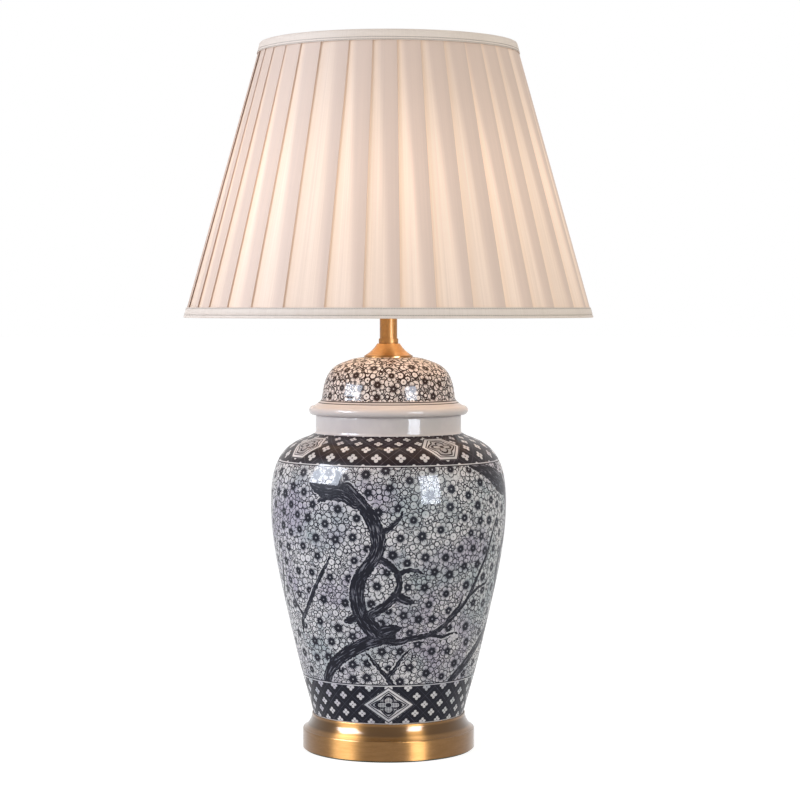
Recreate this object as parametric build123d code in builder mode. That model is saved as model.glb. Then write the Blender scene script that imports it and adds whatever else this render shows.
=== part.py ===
from build123d import *
import math
import os

# Ginger jar table lamp: a lidded porcelain jar on a spun brass base, clamped by one
# threaded tube that also carries a switched lampholder, a screw bulb and a
# knife-pleated tapered shade. Millimetres, +Z up, origin on the table under the axis,
# front towards -Y.

# ---------------------------------------------------------------- driving dimensions
# clearances
rod_gap = 0.1  # round a fixed rod or spigot
run_gap = 0.08  # radial, round a piece that turns or slides in its bore
thread_gap = 0.25  # radial, between a smooth thread form and its socket
seat_gap = 0.3  # between curved faces that lie on each other

# base
felt_t = 1.5
felt_inset = 2.0
base_foot_r = 86.0
base_skirt_h = 18.0
base_step = 1.4
base_flare_h = 12.5
base_waist_share = 0.28  # how far the hollow flare still stands out at its waist
base_waist_height = 0.62  # height of the waist as a share of the flare
base_lip_r = 76.8
base_lip_h = 2.6
base_sheet = 1.2
base_return = 6.0
weight_edge = 0.8
deck_drop = 3.0
weight_r = 65.0
weight_t = 8.0
cord_hole_r = 4.2
cord_hole_h = 9.0
grommet_bore_r = 3.3
grommet_flange = 1.6
grommet_flange_t = 1.6

# threaded tube and its hardware
rod_r = 5.0
rod_bore_r = 3.75
rod_tail = 4.0
rod_engagement = 8.0
washer_r = 14.0
washer_t = 1.6
nut_flats = 17.0
nut_t = 5.0

# jar
gasket_t = 1.0
gasket_w = 12.0
jar_foot_r = 74.8
jar_belly_r = 117.6
jar_neck_r = 72.6
jar_h = 301.0
jar_neck_h = 17.5
jar_belly_share = 0.77  # height of the belly as a share of the body below the neck
jar_wall = 6.0
jar_floor = 8.0
jar_rod_hole_r = 7.0
glaze_edge_r = 1.2

# lid
lid_h = 57.0
lid_flange_r = 79.6
lid_flange_h = 8.6
lid_dome_r = 66.6
lid_crown_r = 26.0
lid_wall = 5.5
lid_collar_h = 11.0
lid_collar_t = 4.0
lid_collar_gap = 1.0
lid_rod_hole_r = 6.0

# brass fittings above the lid
cap_r = 24.4
cap_neck_r = 11.4
cap_h = 13.6
cap_rim_h = 1.5
cap_waist_share = 0.42  # how far the hollow cone still stands out at half height
cap_sheet = 1.2
collar_r = 9.8
collar_h = 5.0
tube_r = 8.7
tube_wall = 1.0
tube_h = 26.0

# lampholder
holder_boss_r = 9.0
holder_boss_h = 4.5
holder_r = 19.0
holder_wall = 1.2
holder_dome_h = 7.0
holder_cap_h = 26.0
holder_sleeve_h = 30.0
holder_shoulder_w = 4.6
holder_shoulder_t = 3.0
holder_lip_w = 3.6
holder_lip_t = 1.4
insert_h = 20.5
liner_wall = 1.6
wire_hole_r = 3.2
shell_wall = 0.5
contact_w = 7.0
contact_t = 0.8
contact_lift = 2.0
screw_r = 1.5
screw_head_r = 2.6
screw_head_t = 1.4
screw_length = 7.0

# push bar switch
bar_r = 2.2
bar_travel = 6.0
bar_rise = 5.6  # above the floor of the holder cap
button_r = 4.0
button_t = 4.0
button_clearance = 1.2

# screw bulb, 27 mm cap
bulb_cap_r = 13.1
bulb_cap_h = 18.0
bulb_cap_wall = 0.4
bulb_insulator_h = 5.0
bulb_contact_r = 4.5
bulb_contact_h = 1.6
bulb_globe_r = 30.0
bulb_neck_r = 12.2
bulb_glass = 0.9
bulb_length = 106.0
bulb_neck_straight = 2.0  # plain glass above the cap
bulb_seal = 6.0  # how deep the glass neck reaches into the cap
globe_join = 28.0  # degrees below and above the globe's middle that are a true circle
bulb_stem_r = 3.2
bulb_stem_h = 34.0
filament_r = 0.9
filament_h = 30.0
filament_count = 4
filament_pcd = 13.0

# shade
shade_h = 272.0
shade_bottom_r = 203.4
shade_top_r = 127.0
fitter_recess = 34.1  # from the lower edge up to the underside of the fitter ring
pleat_count = 36
pleat_step = 1.8
cover_skin = 0.8
wire_r = 1.6
strut_r = 1.25
strut_count = 8
lining_t = 0.6
trim_t = 1.0
trim_h = 11.5
fitter_hole_gap = 0.6
fitter_w = 7.0
fitter_t = 1.6
arm_count = 3
arm_r = 1.8
clamp_ring_h = 8.0
clamp_ring_w = 4.4
clamp_flange_t = 2.0
clamp_rib_r = 1.0
clamp_rib_count = 24

# ---------------------------------------------------------------- places worked out
base_z = felt_t
skirt_top_z = base_z + base_skirt_h
flare_top_z = skirt_top_z + base_step + base_flare_h
base_top_z = flare_top_z + base_lip_h
deck_z = base_top_z - deck_drop
weight_z = deck_z - base_sheet - weight_t
nut_z = weight_z - washer_t - nut_t
rod_z = nut_z - rod_tail
foot_ring_r = base_lip_r - base_sheet
cord_z = base_z + cord_hole_h

jar_z = deck_z + gasket_t
neck_z = jar_z + jar_h - jar_neck_h
jar_top_z = jar_z + jar_h
lid_top_z = jar_top_z + lid_h
collar_z = lid_top_z + cap_h
tube_z = collar_z + collar_h
holder_z = tube_z + tube_h
cap_floor_z = holder_z + holder_boss_h + holder_dome_h
sleeve_z = holder_z + holder_cap_h
shoulder_top_z = sleeve_z + holder_shoulder_t
sleeve_top_z = sleeve_z + holder_sleeve_h
insert_top_z = cap_floor_z + insert_h
rod_top_z = holder_z + rod_engagement
cavity_r = holder_r - holder_wall
bar_z = cap_floor_z + bar_rise

socket_r = bulb_cap_r + thread_gap
contact_z = insert_top_z + contact_lift
bulb_z = contact_z + contact_t + seat_gap
bulb_cap_z = bulb_z + bulb_contact_h + bulb_insulator_h
bulb_neck_z = bulb_cap_z + bulb_cap_h
bulb_seal_z = bulb_neck_z - bulb_seal
bulb_top_z = bulb_z + bulb_length
globe_z = bulb_top_z - bulb_globe_r

shade_z = shoulder_top_z - fitter_recess
shade_top_z = shade_z + shade_h
shade_slope = (shade_bottom_r - shade_top_r) / shade_h
cover_depth = pleat_step + cover_skin
frame_r = cover_depth + wire_r + seat_gap
bottom_wire_z = shade_z + trim_t + seat_gap + wire_r
top_wire_z = shade_top_z - trim_t - seat_gap - wire_r


def crest_r(z, depth=0.0):
    """Radius of the pleat crests at height z, less a depth into the shade."""
    return shade_bottom_r - shade_slope * (z - shade_z) - depth


def finish(piece, name):
    piece.part.label = name
    export_step(piece.part, f"parts/{name}.step")


os.makedirs("parts", exist_ok=True)

# ---------------------------------------------------------------- base
with BuildPart() as base_felt:
    with BuildSketch():
        Circle(base_foot_r - felt_inset)
    extrude(amount=felt_t)
finish(base_felt, "base_felt")

# One spun sheet: return lip, upright skirt, small step, hollow flare, rolled lip and
# sunk deck, drawn as the outer line and the same line one sheet further in.
with BuildPart() as base_shell:
    with BuildSketch(Plane.XZ):
        with BuildLine():
            step_r = base_foot_r - base_step
            waist_r = base_lip_r + base_waist_share * (step_r - base_lip_r)
            waist_z = skirt_top_z + base_waist_height * base_flare_h
            outer = Line((base_foot_r - base_return, base_z), (base_foot_r, base_z))
            skirt = Line(outer @ 1, (base_foot_r, skirt_top_z))
            shoulder = RadiusArc(skirt @ 1, (step_r, skirt_top_z + base_step), -base_step)
            flare = ThreePointArc(shoulder @ 1, (waist_r, waist_z), (base_lip_r, flare_top_z))
            roll_z = base_top_z - base_sheet / 2
            bead = Line(flare @ 1, (base_lip_r, roll_z))
            roll = ThreePointArc(bead @ 1, (base_lip_r - base_sheet / 2, base_top_z), (foot_ring_r, roll_z))
            inside = Line(roll @ 1, (foot_ring_r, deck_z))
            deck = Line(inside @ 1, (rod_r + rod_gap, deck_z))
            hole = Line(deck @ 1, (rod_r + rod_gap, deck_z - base_sheet))
            under = Line(hole @ 1, (foot_ring_r - base_sheet, deck_z - base_sheet))
            back = Line(under @ 1, (foot_ring_r - base_sheet, flare_top_z - base_sheet))
            hollow = ThreePointArc(
                back @ 1,
                (waist_r - base_sheet, waist_z - base_sheet),
                (step_r - base_sheet, skirt_top_z),
            )
            inner_skirt = Polyline(
                hollow @ 1,
                (base_foot_r - base_sheet, skirt_top_z - base_step),
                (base_foot_r - base_sheet, base_z + base_sheet),
                (base_foot_r - base_return, base_z + base_sheet),
                outer @ 0,
            )
        make_face()
    revolve(axis=Axis.Z)
    with BuildSketch(Plane.XZ.offset(-base_foot_r)):
        with Locations((0, cord_z)):
            Circle(cord_hole_r)
    extrude(amount=base_return, mode=Mode.SUBTRACT)
finish(base_shell, "base_shell")

# The cord bush lies in the skirt at the back, with a flange each side of the sheet.
flange_r = cord_hole_r + grommet_flange
flange_sag = base_foot_r - math.sqrt(base_foot_r**2 - flange_r**2)
groove_in = base_foot_r - base_sheet - flange_sag - run_gap
groove_out = base_foot_r + run_gap
outer_y = groove_out + grommet_flange_t
discs = (
    (outer_y, flange_r, grommet_flange_t),
    (groove_out, cord_hole_r - rod_gap, groove_out - groove_in),
    (groove_in, flange_r, grommet_flange_t),
)
with BuildPart() as cord_grommet:
    for disc_y, disc_r, disc_t in discs:
        with BuildSketch(Plane.XZ.offset(-disc_y)):
            with Locations((0, cord_z)):
                Circle(disc_r)
        extrude(amount=disc_t)
    with BuildSketch(Plane.XZ.offset(-outer_y)):
        with Locations((0, cord_z)):
            Circle(grommet_bore_r)
    extrude(amount=outer_y - groove_in + grommet_flange_t, mode=Mode.SUBTRACT)
finish(cord_grommet, "cord_grommet")

with BuildPart() as base_weight:
    with BuildSketch(Plane.XY.offset(weight_z)):
        Circle(weight_r)
        Circle(rod_r + rod_gap, mode=Mode.SUBTRACT)
    extrude(amount=weight_t)
    chamfer(base_weight.edges().filter_by(GeomType.CIRCLE).group_by(SortBy.RADIUS)[-1], weight_edge)
finish(base_weight, "base_weight")

with BuildPart() as base_washer:
    with BuildSketch(Plane.XY.offset(nut_z + nut_t)):
        Circle(washer_r)
        Circle(rod_r + rod_gap, mode=Mode.SUBTRACT)
    extrude(amount=washer_t)
finish(base_washer, "base_washer")

with BuildPart() as base_nut:
    with BuildSketch(Plane.XY.offset(nut_z)):
        RegularPolygon(nut_flats / 2, 6, major_radius=False)
        Circle(rod_r + rod_gap, mode=Mode.SUBTRACT)
    extrude(amount=nut_t)
finish(base_nut, "base_nut")

with BuildPart() as threaded_tube:
    with BuildSketch(Plane.XY.offset(rod_z)):
        Circle(rod_r)
        Circle(rod_bore_r, mode=Mode.SUBTRACT)
    extrude(amount=rod_top_z - rod_z)
finish(threaded_tube, "threaded_tube")

# ---------------------------------------------------------------- jar and lid
with BuildPart() as jar_gasket:
    with BuildSketch(Plane.XY.offset(deck_z)):
        Circle(jar_foot_r - glaze_edge_r)
        Circle(jar_foot_r - glaze_edge_r - gasket_w, mode=Mode.SUBTRACT)
    extrude(amount=gasket_t)
finish(jar_gasket, "jar_gasket")


def jar_side(inset, floor_z):
    """The jar's side from floor_z to the neck's top, moved in by an inset."""
    belly_z = jar_z + jar_belly_share * (neck_z - jar_z)
    swell = jar_belly_r - jar_foot_r
    fall = jar_belly_r - jar_neck_r
    rise = belly_z - jar_z
    drop = neck_z - belly_z
    foot_r = jar_foot_r + 0.25 * (floor_z - jar_z) - inset
    side = Spline(
        (foot_r, floor_z),
        (jar_foot_r + 0.28 * swell - inset, jar_z + 0.20 * rise),
        (jar_foot_r + 0.62 * swell - inset, jar_z + 0.48 * rise),
        (jar_belly_r - inset, belly_z),
        (jar_neck_r + 0.80 * fall - 0.9 * inset, belly_z + 0.62 * drop - 0.2 * inset),
        (jar_neck_r + 0.36 * fall - 0.7 * inset, belly_z + 0.88 * drop - 0.6 * inset),
        (jar_neck_r - inset, neck_z),
        tangents=[(0.25, 1), (-0.9, 1)],
    )
    neck = Line(side @ 1, (jar_neck_r - inset, jar_top_z))
    return side, neck


with BuildPart() as jar_body:
    with BuildSketch(Plane.XZ):
        with BuildLine():
            wall, neck = jar_side(0.0, jar_z)
            Polyline(neck @ 1, (0, jar_top_z), (0, jar_z), wall @ 0)
        make_face()
    revolve(axis=Axis.Z)
    with BuildSketch(Plane.XZ):
        with BuildLine():
            wall, neck = jar_side(jar_wall, jar_z + jar_floor)
            Polyline(neck @ 1, (0, jar_top_z), (0, jar_z + jar_floor), wall @ 0)
        make_face()
    revolve(axis=Axis.Z, mode=Mode.SUBTRACT)
    with BuildSketch(Plane.XY.offset(jar_z)):
        Circle(jar_rod_hole_r)
    extrude(amount=jar_floor, mode=Mode.SUBTRACT)
    fillet(jar_body.faces().filter_by(GeomType.PLANE).sort_by(Axis.Z)[-1].edges(), glaze_edge_r)
finish(jar_body, "jar_body")


def lid_dome(inset):
    """The lid's side from the top of its flange to the edge of its flat crown."""
    foot_z = jar_top_z + lid_flange_h + 0.12 * lid_h
    rise = lid_top_z - foot_z
    span = lid_dome_r - lid_crown_r
    return Spline(
        (lid_dome_r - inset, foot_z - inset),
        (lid_dome_r - 0.04 * span - inset, foot_z + 0.28 * rise - inset),
        (lid_dome_r - 0.14 * span - inset, foot_z + 0.57 * rise - inset),
        (lid_dome_r - 0.34 * span - 0.8 * inset, foot_z + 0.79 * rise - inset),
        (lid_dome_r - 0.64 * span - 0.4 * inset, foot_z + 0.92 * rise - inset),
        (lid_crown_r, lid_top_z - inset),
        tangents=[(-0.08, 1), (-1, 0.12)],
    )


with BuildPart() as jar_lid:
    with BuildSketch(Plane.XZ):
        with BuildLine():
            nose_r = lid_flange_h / 2
            under = Line((0, jar_top_z), (lid_flange_r - 0.7 * nose_r, jar_top_z))
            nose = ThreePointArc(
                under @ 1,
                (lid_flange_r, jar_top_z + 0.9 * nose_r),
                (lid_flange_r - 1.15 * nose_r, jar_top_z + lid_flange_h),
            )
            dome = lid_dome(0.0)
            Spline(nose @ 1, dome @ 0, tangents=[(-1, 0.6), (-0.7, 1)])
            Polyline(dome @ 1, (0, lid_top_z), under @ 0)
        make_face()
    revolve(axis=Axis.Z)
    with BuildSketch(Plane.XZ):
        with BuildLine():
            hollow = lid_dome(lid_wall)
            Polyline(
                hollow @ 1,
                (0, lid_top_z - lid_wall),
                (0, jar_top_z),
                (lid_dome_r - lid_wall, jar_top_z),
                hollow @ 0,
            )
        make_face()
    revolve(axis=Axis.Z, mode=Mode.SUBTRACT)
    collar_outer_r = jar_neck_r - jar_wall - lid_collar_gap
    with BuildSketch(Plane.XY.offset(jar_top_z - lid_collar_h)):
        Circle(collar_outer_r)
        Circle(collar_outer_r - lid_collar_t, mode=Mode.SUBTRACT)
    extrude(amount=lid_collar_h + lid_flange_h)
    with BuildSketch(Plane.XY.offset(lid_top_z - lid_wall)):
        Circle(lid_rod_hole_r)
    extrude(amount=lid_wall, mode=Mode.SUBTRACT)
finish(jar_lid, "jar_lid")

# ---------------------------------------------------------------- brass fittings
with BuildPart() as vase_cap:
    with BuildSketch(Plane.XZ):
        with BuildLine():
            rim = Line((cap_r - cap_sheet, lid_top_z), (cap_r, lid_top_z))
            edge = Line(rim @ 1, (cap_r, lid_top_z + cap_rim_h))
            waist_r = cap_neck_r + cap_waist_share * (cap_r - cap_neck_r)
            waist_z = lid_top_z + cap_h / 2
            cone = ThreePointArc(edge @ 1, (waist_r, waist_z), (cap_neck_r, collar_z))
            crown = Polyline(
                cone @ 1,
                (rod_r + rod_gap, collar_z),
                (rod_r + rod_gap, collar_z - cap_sheet),
                (cap_neck_r - cap_sheet, collar_z - cap_sheet),
            )
            ThreePointArc(crown @ 1, (waist_r - cap_sheet, waist_z - cap_sheet), rim @ 0)
        make_face()
    revolve(axis=Axis.Z)
finish(vase_cap, "vase_cap")

with BuildPart() as neck_collar:
    with BuildSketch(Plane.XY.offset(collar_z)):
        Circle(collar_r)
        Circle(rod_r + rod_gap, mode=Mode.SUBTRACT)
    extrude(amount=collar_h)
    collar_edges = neck_collar.edges().filter_by(GeomType.CIRCLE).group_by(SortBy.RADIUS)[-1]
    fillet(collar_edges, (collar_r - tube_r) / 2)
finish(neck_collar, "neck_collar")

with BuildPart() as neck_tube:
    with BuildSketch(Plane.XY.offset(tube_z)):
        Circle(tube_r)
        Circle(tube_r - tube_wall, mode=Mode.SUBTRACT)
    extrude(amount=tube_h)
finish(neck_tube, "neck_tube")

# ---------------------------------------------------------------- lampholder
with BuildPart() as holder_cap:
    with BuildSketch(Plane.XZ):
        with BuildLine():
            dome_z = holder_z + holder_boss_h
            boss = Polyline((0, holder_z), (holder_boss_r, holder_z), (holder_boss_r, dome_z))
            cheek_r = holder_boss_r + 0.75 * (holder_r - holder_boss_r)
            dome = ThreePointArc(boss @ 1, (cheek_r, dome_z + 0.3 * holder_dome_h), (holder_r, cap_floor_z))
            Polyline(dome @ 1, (holder_r, sleeve_z), (0, sleeve_z), boss @ 0)
        make_face()
    revolve(axis=Axis.Z)
    with BuildSketch(Plane.XY.offset(cap_floor_z)):
        Circle(cavity_r)
    extrude(amount=sleeve_z - cap_floor_z, mode=Mode.SUBTRACT)
    with BuildSketch(Plane.XY.offset(holder_z)):
        Circle(rod_r + rod_gap)
    extrude(amount=rod_engagement, mode=Mode.SUBTRACT)
    with BuildSketch(Plane.XY.offset(holder_z)):
        Circle(rod_bore_r)
    extrude(amount=cap_floor_z - holder_z, mode=Mode.SUBTRACT)
    with BuildSketch(Plane.YZ.offset(-holder_r)):
        with Locations((0, bar_z)):
            Circle(bar_r + run_gap)
    extrude(amount=2 * holder_r, mode=Mode.SUBTRACT)
finish(holder_cap, "holder_cap")

terminal_z = bar_z + bar_r + screw_head_r + screw_head_t
pocket_depth = seat_gap + 2 * screw_head_t
with BuildPart() as holder_insert:
    with BuildSketch(Plane.XY.offset(cap_floor_z)):
        Circle(cavity_r - seat_gap)
        with Locations((0, cavity_r / 2), (0, -cavity_r / 2)):
            Circle(wire_hole_r, mode=Mode.SUBTRACT)
    extrude(amount=insert_h)
    with BuildSketch(Plane.YZ.offset(-holder_r)):
        with Locations((0, bar_z)):
            Circle(bar_r + run_gap)
    extrude(amount=2 * holder_r, mode=Mode.SUBTRACT)
    for side in (-1, 1):
        with BuildSketch(Plane.YZ.offset(side * cavity_r)):
            with Locations((0, terminal_z)):
                Circle(screw_head_r + rod_gap)
        extrude(amount=-side * pocket_depth, mode=Mode.SUBTRACT)
        with BuildSketch(Plane.YZ.offset(side * cavity_r)):
            with Locations((0, terminal_z)):
                Circle(screw_r + rod_gap)
        extrude(amount=-side * (pocket_depth + screw_length), mode=Mode.SUBTRACT)
finish(holder_insert, "holder_insert")

# The two terminal screws lie radially in the insert, heads outwards in their pockets.
with BuildPart() as terminal_screws:
    for side in (-1, 1):
        for radius, reach in ((screw_head_r, screw_head_t), (screw_r, -screw_length)):
            with BuildSketch(Plane.YZ.offset(side * (cavity_r - pocket_depth))):
                with Locations((0, terminal_z)):
                    Circle(radius)
            extrude(amount=side * reach)
finish(terminal_screws, "terminal_screws")

with BuildPart() as holder_sleeve:
    with BuildSketch(Plane.XY.offset(sleeve_z)):
        Circle(holder_r + holder_shoulder_w)
    extrude(amount=holder_shoulder_t)
    with BuildSketch(Plane.XY.offset(shoulder_top_z)):
        Circle(holder_r)
    extrude(amount=sleeve_top_z - shoulder_top_z)
    with BuildSketch(Plane.XY.offset(sleeve_z)):
        Circle(cavity_r)
    extrude(amount=holder_sleeve_h - holder_lip_t, mode=Mode.SUBTRACT)
    with BuildSketch(Plane.XY.offset(sleeve_top_z - holder_lip_t)):
        Circle(holder_r - holder_lip_w)
    extrude(amount=holder_lip_t, mode=Mode.SUBTRACT)
finish(holder_sleeve, "holder_sleeve")

with BuildPart() as holder_screw_shell:
    with BuildSketch(Plane.XY.offset(insert_top_z)):
        Circle(socket_r + shell_wall)
        Circle(socket_r, mode=Mode.SUBTRACT)
    extrude(amount=sleeve_top_z - holder_lip_t - insert_top_z)
finish(holder_screw_shell, "holder_screw_shell")

with BuildPart() as holder_liner:
    liner_r = cavity_r - seat_gap
    with BuildSketch(Plane.XY.offset(insert_top_z)):
        Circle(liner_r)
        Circle(liner_r - liner_wall, mode=Mode.SUBTRACT)
    extrude(amount=sleeve_top_z - holder_lip_t - insert_top_z)
finish(holder_liner, "holder_liner")

# The centre contact is a sprung strip: a foot on the insert, a rise and a raised tongue.
with BuildPart() as holder_contact:
    with BuildSketch(Plane.XZ.offset(-contact_w / 2)):
        with BuildLine():
            Polyline(
                (-socket_r / 2, insert_top_z),
                (-socket_r / 6, insert_top_z),
                (socket_r / 6, contact_z),
                (socket_r / 2, contact_z),
                (socket_r / 2, contact_z + contact_t),
                (-socket_r / 6, contact_z + contact_t),
                (-socket_r / 2, insert_top_z + contact_t),
                close=True,
            )
        make_face()
    extrude(amount=contact_w)
finish(holder_contact, "holder_contact")

# ---------------------------------------------------------------- push bar switch
# At rest the bar stands out to +X, lamp on; pressed home it stands out to -X.
bar_right = holder_r + button_clearance + bar_travel
bar_left = -holder_r - button_clearance
with BuildPart() as switch_push_bar:
    with BuildSketch(Plane.YZ.offset(bar_left)):
        with Locations((0, bar_z)):
            Circle(bar_r)
    extrude(amount=bar_right - bar_left)
finish(switch_push_bar, "switch_push_bar")

with BuildPart() as switch_buttons:
    for end, outward in ((bar_left, -1), (bar_right, 1)):
        with BuildSketch(Plane.YZ.offset(end)):
            with Locations((0, bar_z)):
                Circle(button_r)
        extrude(amount=outward * button_t)
    tips = switch_buttons.faces().sort_by(Axis.X)
    fillet(tips[0].edges() + tips[-1].edges(), button_t / 3)
finish(switch_buttons, "switch_buttons")

# ---------------------------------------------------------------- bulb
with BuildPart() as bulb_contact:
    with BuildSketch(Plane.XY.offset(bulb_z)):
        Circle(bulb_contact_r)
    extrude(amount=bulb_contact_h)
    fillet(bulb_contact.faces().sort_by(Axis.Z)[0].edges(), bulb_contact_h / 2)
finish(bulb_contact, "bulb_contact")

with BuildPart() as bulb_insulator:
    with BuildSketch(Plane.XZ):
        with BuildLine():
            Polyline(
                (0, bulb_z + bulb_contact_h),
                (bulb_contact_r + bulb_contact_h, bulb_z + bulb_contact_h),
                (bulb_cap_r - bulb_contact_h, bulb_cap_z),
                (0, bulb_cap_z),
                close=True,
            )
        make_face()
    revolve(axis=Axis.Z)
finish(bulb_insulator, "bulb_insulator")

with BuildPart() as bulb_cap:
    with BuildSketch(Plane.XY.offset(bulb_cap_z)):
        Circle(bulb_cap_r)
    extrude(amount=bulb_cap_h)
    fillet(bulb_cap.faces().sort_by(Axis.Z)[0].edges(), bulb_contact_h)
    with BuildSketch(Plane.XY.offset(bulb_cap_z + bulb_contact_h)):
        Circle(bulb_cap_r - bulb_cap_wall)
    extrude(amount=bulb_cap_h - bulb_contact_h, mode=Mode.SUBTRACT)
finish(bulb_cap, "bulb_cap")


def globe_line(inset):
    """Half outline of the glass: neck inside the cap, swelling into the round globe."""
    radius = bulb_globe_r - inset
    neck_r = bulb_neck_r - inset
    across = radius * math.cos(math.radians(globe_join))
    up = radius * math.sin(math.radians(globe_join))
    stem = Line((neck_r, bulb_seal_z), (neck_r, bulb_neck_z + bulb_neck_straight))
    swell = Spline(stem @ 1, (across, globe_z - up), tangents=[(0, 1), (up, across)])
    crown = ThreePointArc(swell @ 1, (across, globe_z + up), (0, globe_z + radius))
    return stem, crown


with BuildPart() as bulb_globe:
    with BuildSketch(Plane.XZ):
        with BuildLine():
            stem, crown = globe_line(0.0)
            Polyline(crown @ 1, (0, bulb_seal_z), stem @ 0)
        make_face()
    revolve(axis=Axis.Z)
    with BuildSketch(Plane.XZ):
        with BuildLine():
            stem, crown = globe_line(bulb_glass)
            Polyline(crown @ 1, (0, bulb_seal_z), stem @ 0)
        make_face()
    revolve(axis=Axis.Z, mode=Mode.SUBTRACT)
finish(bulb_globe, "bulb_globe")

# The glass stem stands on a flare that closes the neck inside the cap.
stem_z = bulb_seal_z + bulb_glass
with BuildPart() as bulb_stem:
    with BuildSketch(Plane.XY.offset(bulb_seal_z)):
        Circle(bulb_neck_r - bulb_glass - rod_gap)
    extrude(amount=bulb_glass)
    with BuildSketch(Plane.XY.offset(stem_z)):
        Circle(bulb_stem_r)
    extrude(amount=bulb_stem_h)
    with BuildSketch(Plane.XY.offset(stem_z + bulb_stem_h)):
        Circle(filament_pcd / 2 + filament_r)
    extrude(amount=bulb_glass)
finish(bulb_stem, "bulb_stem")

with BuildPart() as bulb_filaments:
    with BuildSketch(Plane.XY.offset(stem_z + bulb_stem_h + bulb_glass)):
        with PolarLocations(filament_pcd / 2, filament_count):
            Circle(filament_r)
    extrude(amount=filament_h)
finish(bulb_filaments, "bulb_filaments")

# ---------------------------------------------------------------- shade frame
with BuildPart() as shade_bottom_ring:
    with BuildSketch(Plane.XZ):
        with Locations((crest_r(bottom_wire_z, frame_r), bottom_wire_z)):
            Circle(wire_r)
    revolve(axis=Axis.Z)
finish(shade_bottom_ring, "shade_bottom_ring")

with BuildPart() as shade_top_ring:
    with BuildSketch(Plane.XZ):
        with Locations((crest_r(top_wire_z, frame_r), top_wire_z)):
            Circle(wire_r)
    revolve(axis=Axis.Z)
finish(shade_top_ring, "shade_top_ring")


def spoke(start, end, radius):
    """A straight round wire from start to end."""
    with BuildPart() as wire:
        with BuildSketch(Plane(origin=start, x_dir=(0, 1, 0), z_dir=end - start)):
            Circle(radius)
        extrude(amount=(end - start).length)
    return wire.part


bottom_wire = Vector(crest_r(bottom_wire_z, frame_r), 0, bottom_wire_z)
top_wire = Vector(crest_r(top_wire_z, frame_r), 0, top_wire_z)
strut = spoke(bottom_wire, top_wire, strut_r)
strut_turn = 180.0 / strut_count  # keeps the struts off the arms
with BuildPart() as shade_struts:
    with PolarLocations(0, strut_count, start_angle=strut_turn):
        add(strut)
finish(shade_struts, "shade_struts")

# The fitter ring lies on the lampholder's shoulder, held down by the clamp ring.
fitter_r = holder_r + fitter_hole_gap
with BuildPart() as shade_fitter_ring:
    with BuildSketch(Plane.XY.offset(shoulder_top_z)):
        Circle(fitter_r + fitter_w)
        Circle(fitter_r, mode=Mode.SUBTRACT)
    extrude(amount=fitter_t)
finish(shade_fitter_ring, "shade_fitter_ring")

# The arms are welded under the fitter ring and run out and down to the bottom wire.
arm_start = Vector(holder_r + holder_shoulder_w + 2 * seat_gap, 0, shoulder_top_z + fitter_t - arm_r)
arm = spoke(arm_start, bottom_wire, arm_r)
arm_slot = spoke(arm_start, bottom_wire, arm_r + seat_gap)
arm_turn = 90.0  # one arm straight back, the others to the front on each side
with BuildPart() as shade_arms:
    with PolarLocations(0, arm_count, start_angle=arm_turn):
        add(arm)
finish(shade_arms, "shade_arms")

# ---------------------------------------------------------------- shade covering
lining_depth = frame_r + wire_r + seat_gap
cover_inner_sides = 2 * pleat_count  # the cloth is flat between a fold and its middle
edge_low_z = shade_z + trim_t
edge_high_z = shade_top_z - trim_t


def pleat_outline(z):
    """Corners of one level of the cover: each pleat rises to its fold, then steps in."""
    pitch = 2 * math.pi / pleat_count
    corners = []
    for fold in range(pleat_count):
        for depth in (0.0, pleat_step):
            radius = crest_r(z, depth)
            corners.append((radius * math.cos(fold * pitch), radius * math.sin(fold * pitch)))
    return corners


with BuildPart() as shade_cover:
    for level in (edge_low_z, edge_high_z):
        with BuildSketch(Plane.XY.offset(level)):
            with BuildLine():
                Polyline(*pleat_outline(level), close=True)
            make_face()
    loft(ruled=True)
    for level in (edge_low_z, edge_high_z):
        with BuildSketch(Plane.XY.offset(level)):
            RegularPolygon(crest_r(level, cover_depth), cover_inner_sides)
    loft(ruled=True, mode=Mode.SUBTRACT)
finish(shade_cover, "shade_cover")

with BuildPart() as shade_lining:
    with BuildSketch(Plane.XZ):
        with BuildLine():
            Polyline(
                (crest_r(edge_low_z, lining_depth), edge_low_z),
                (crest_r(edge_high_z, lining_depth), edge_high_z),
                (crest_r(edge_high_z, lining_depth + lining_t), edge_high_z),
                (crest_r(edge_low_z, lining_depth + lining_t), edge_low_z),
                close=True,
            )
        make_face()
    revolve(axis=Axis.Z)
    with PolarLocations(0, arm_count, start_angle=arm_turn):
        add(arm_slot, mode=Mode.SUBTRACT)
finish(shade_lining, "shade_lining")


def trim(edge_z, inward):
    """Binding tape: a band outside the cover and a turn over its edge to the lining."""
    outer = -trim_t - rod_gap
    turn_z = edge_z + inward * trim_t
    band_z = edge_z + inward * trim_h
    with BuildPart() as tape:
        with BuildSketch(Plane.XZ):
            with BuildLine():
                Polyline(
                    (crest_r(edge_z, outer), edge_z),
                    (crest_r(band_z, outer), band_z),
                    (crest_r(band_z, -rod_gap), band_z),
                    (crest_r(turn_z, -rod_gap), turn_z),
                    (crest_r(turn_z, lining_depth + lining_t), turn_z),
                    (crest_r(edge_z, lining_depth + lining_t), edge_z),
                    close=True,
                )
            make_face()
        revolve(axis=Axis.Z)
    return tape


finish(trim(shade_z, 1), "shade_bottom_trim")
finish(trim(shade_top_z, -1), "shade_top_trim")

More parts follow.
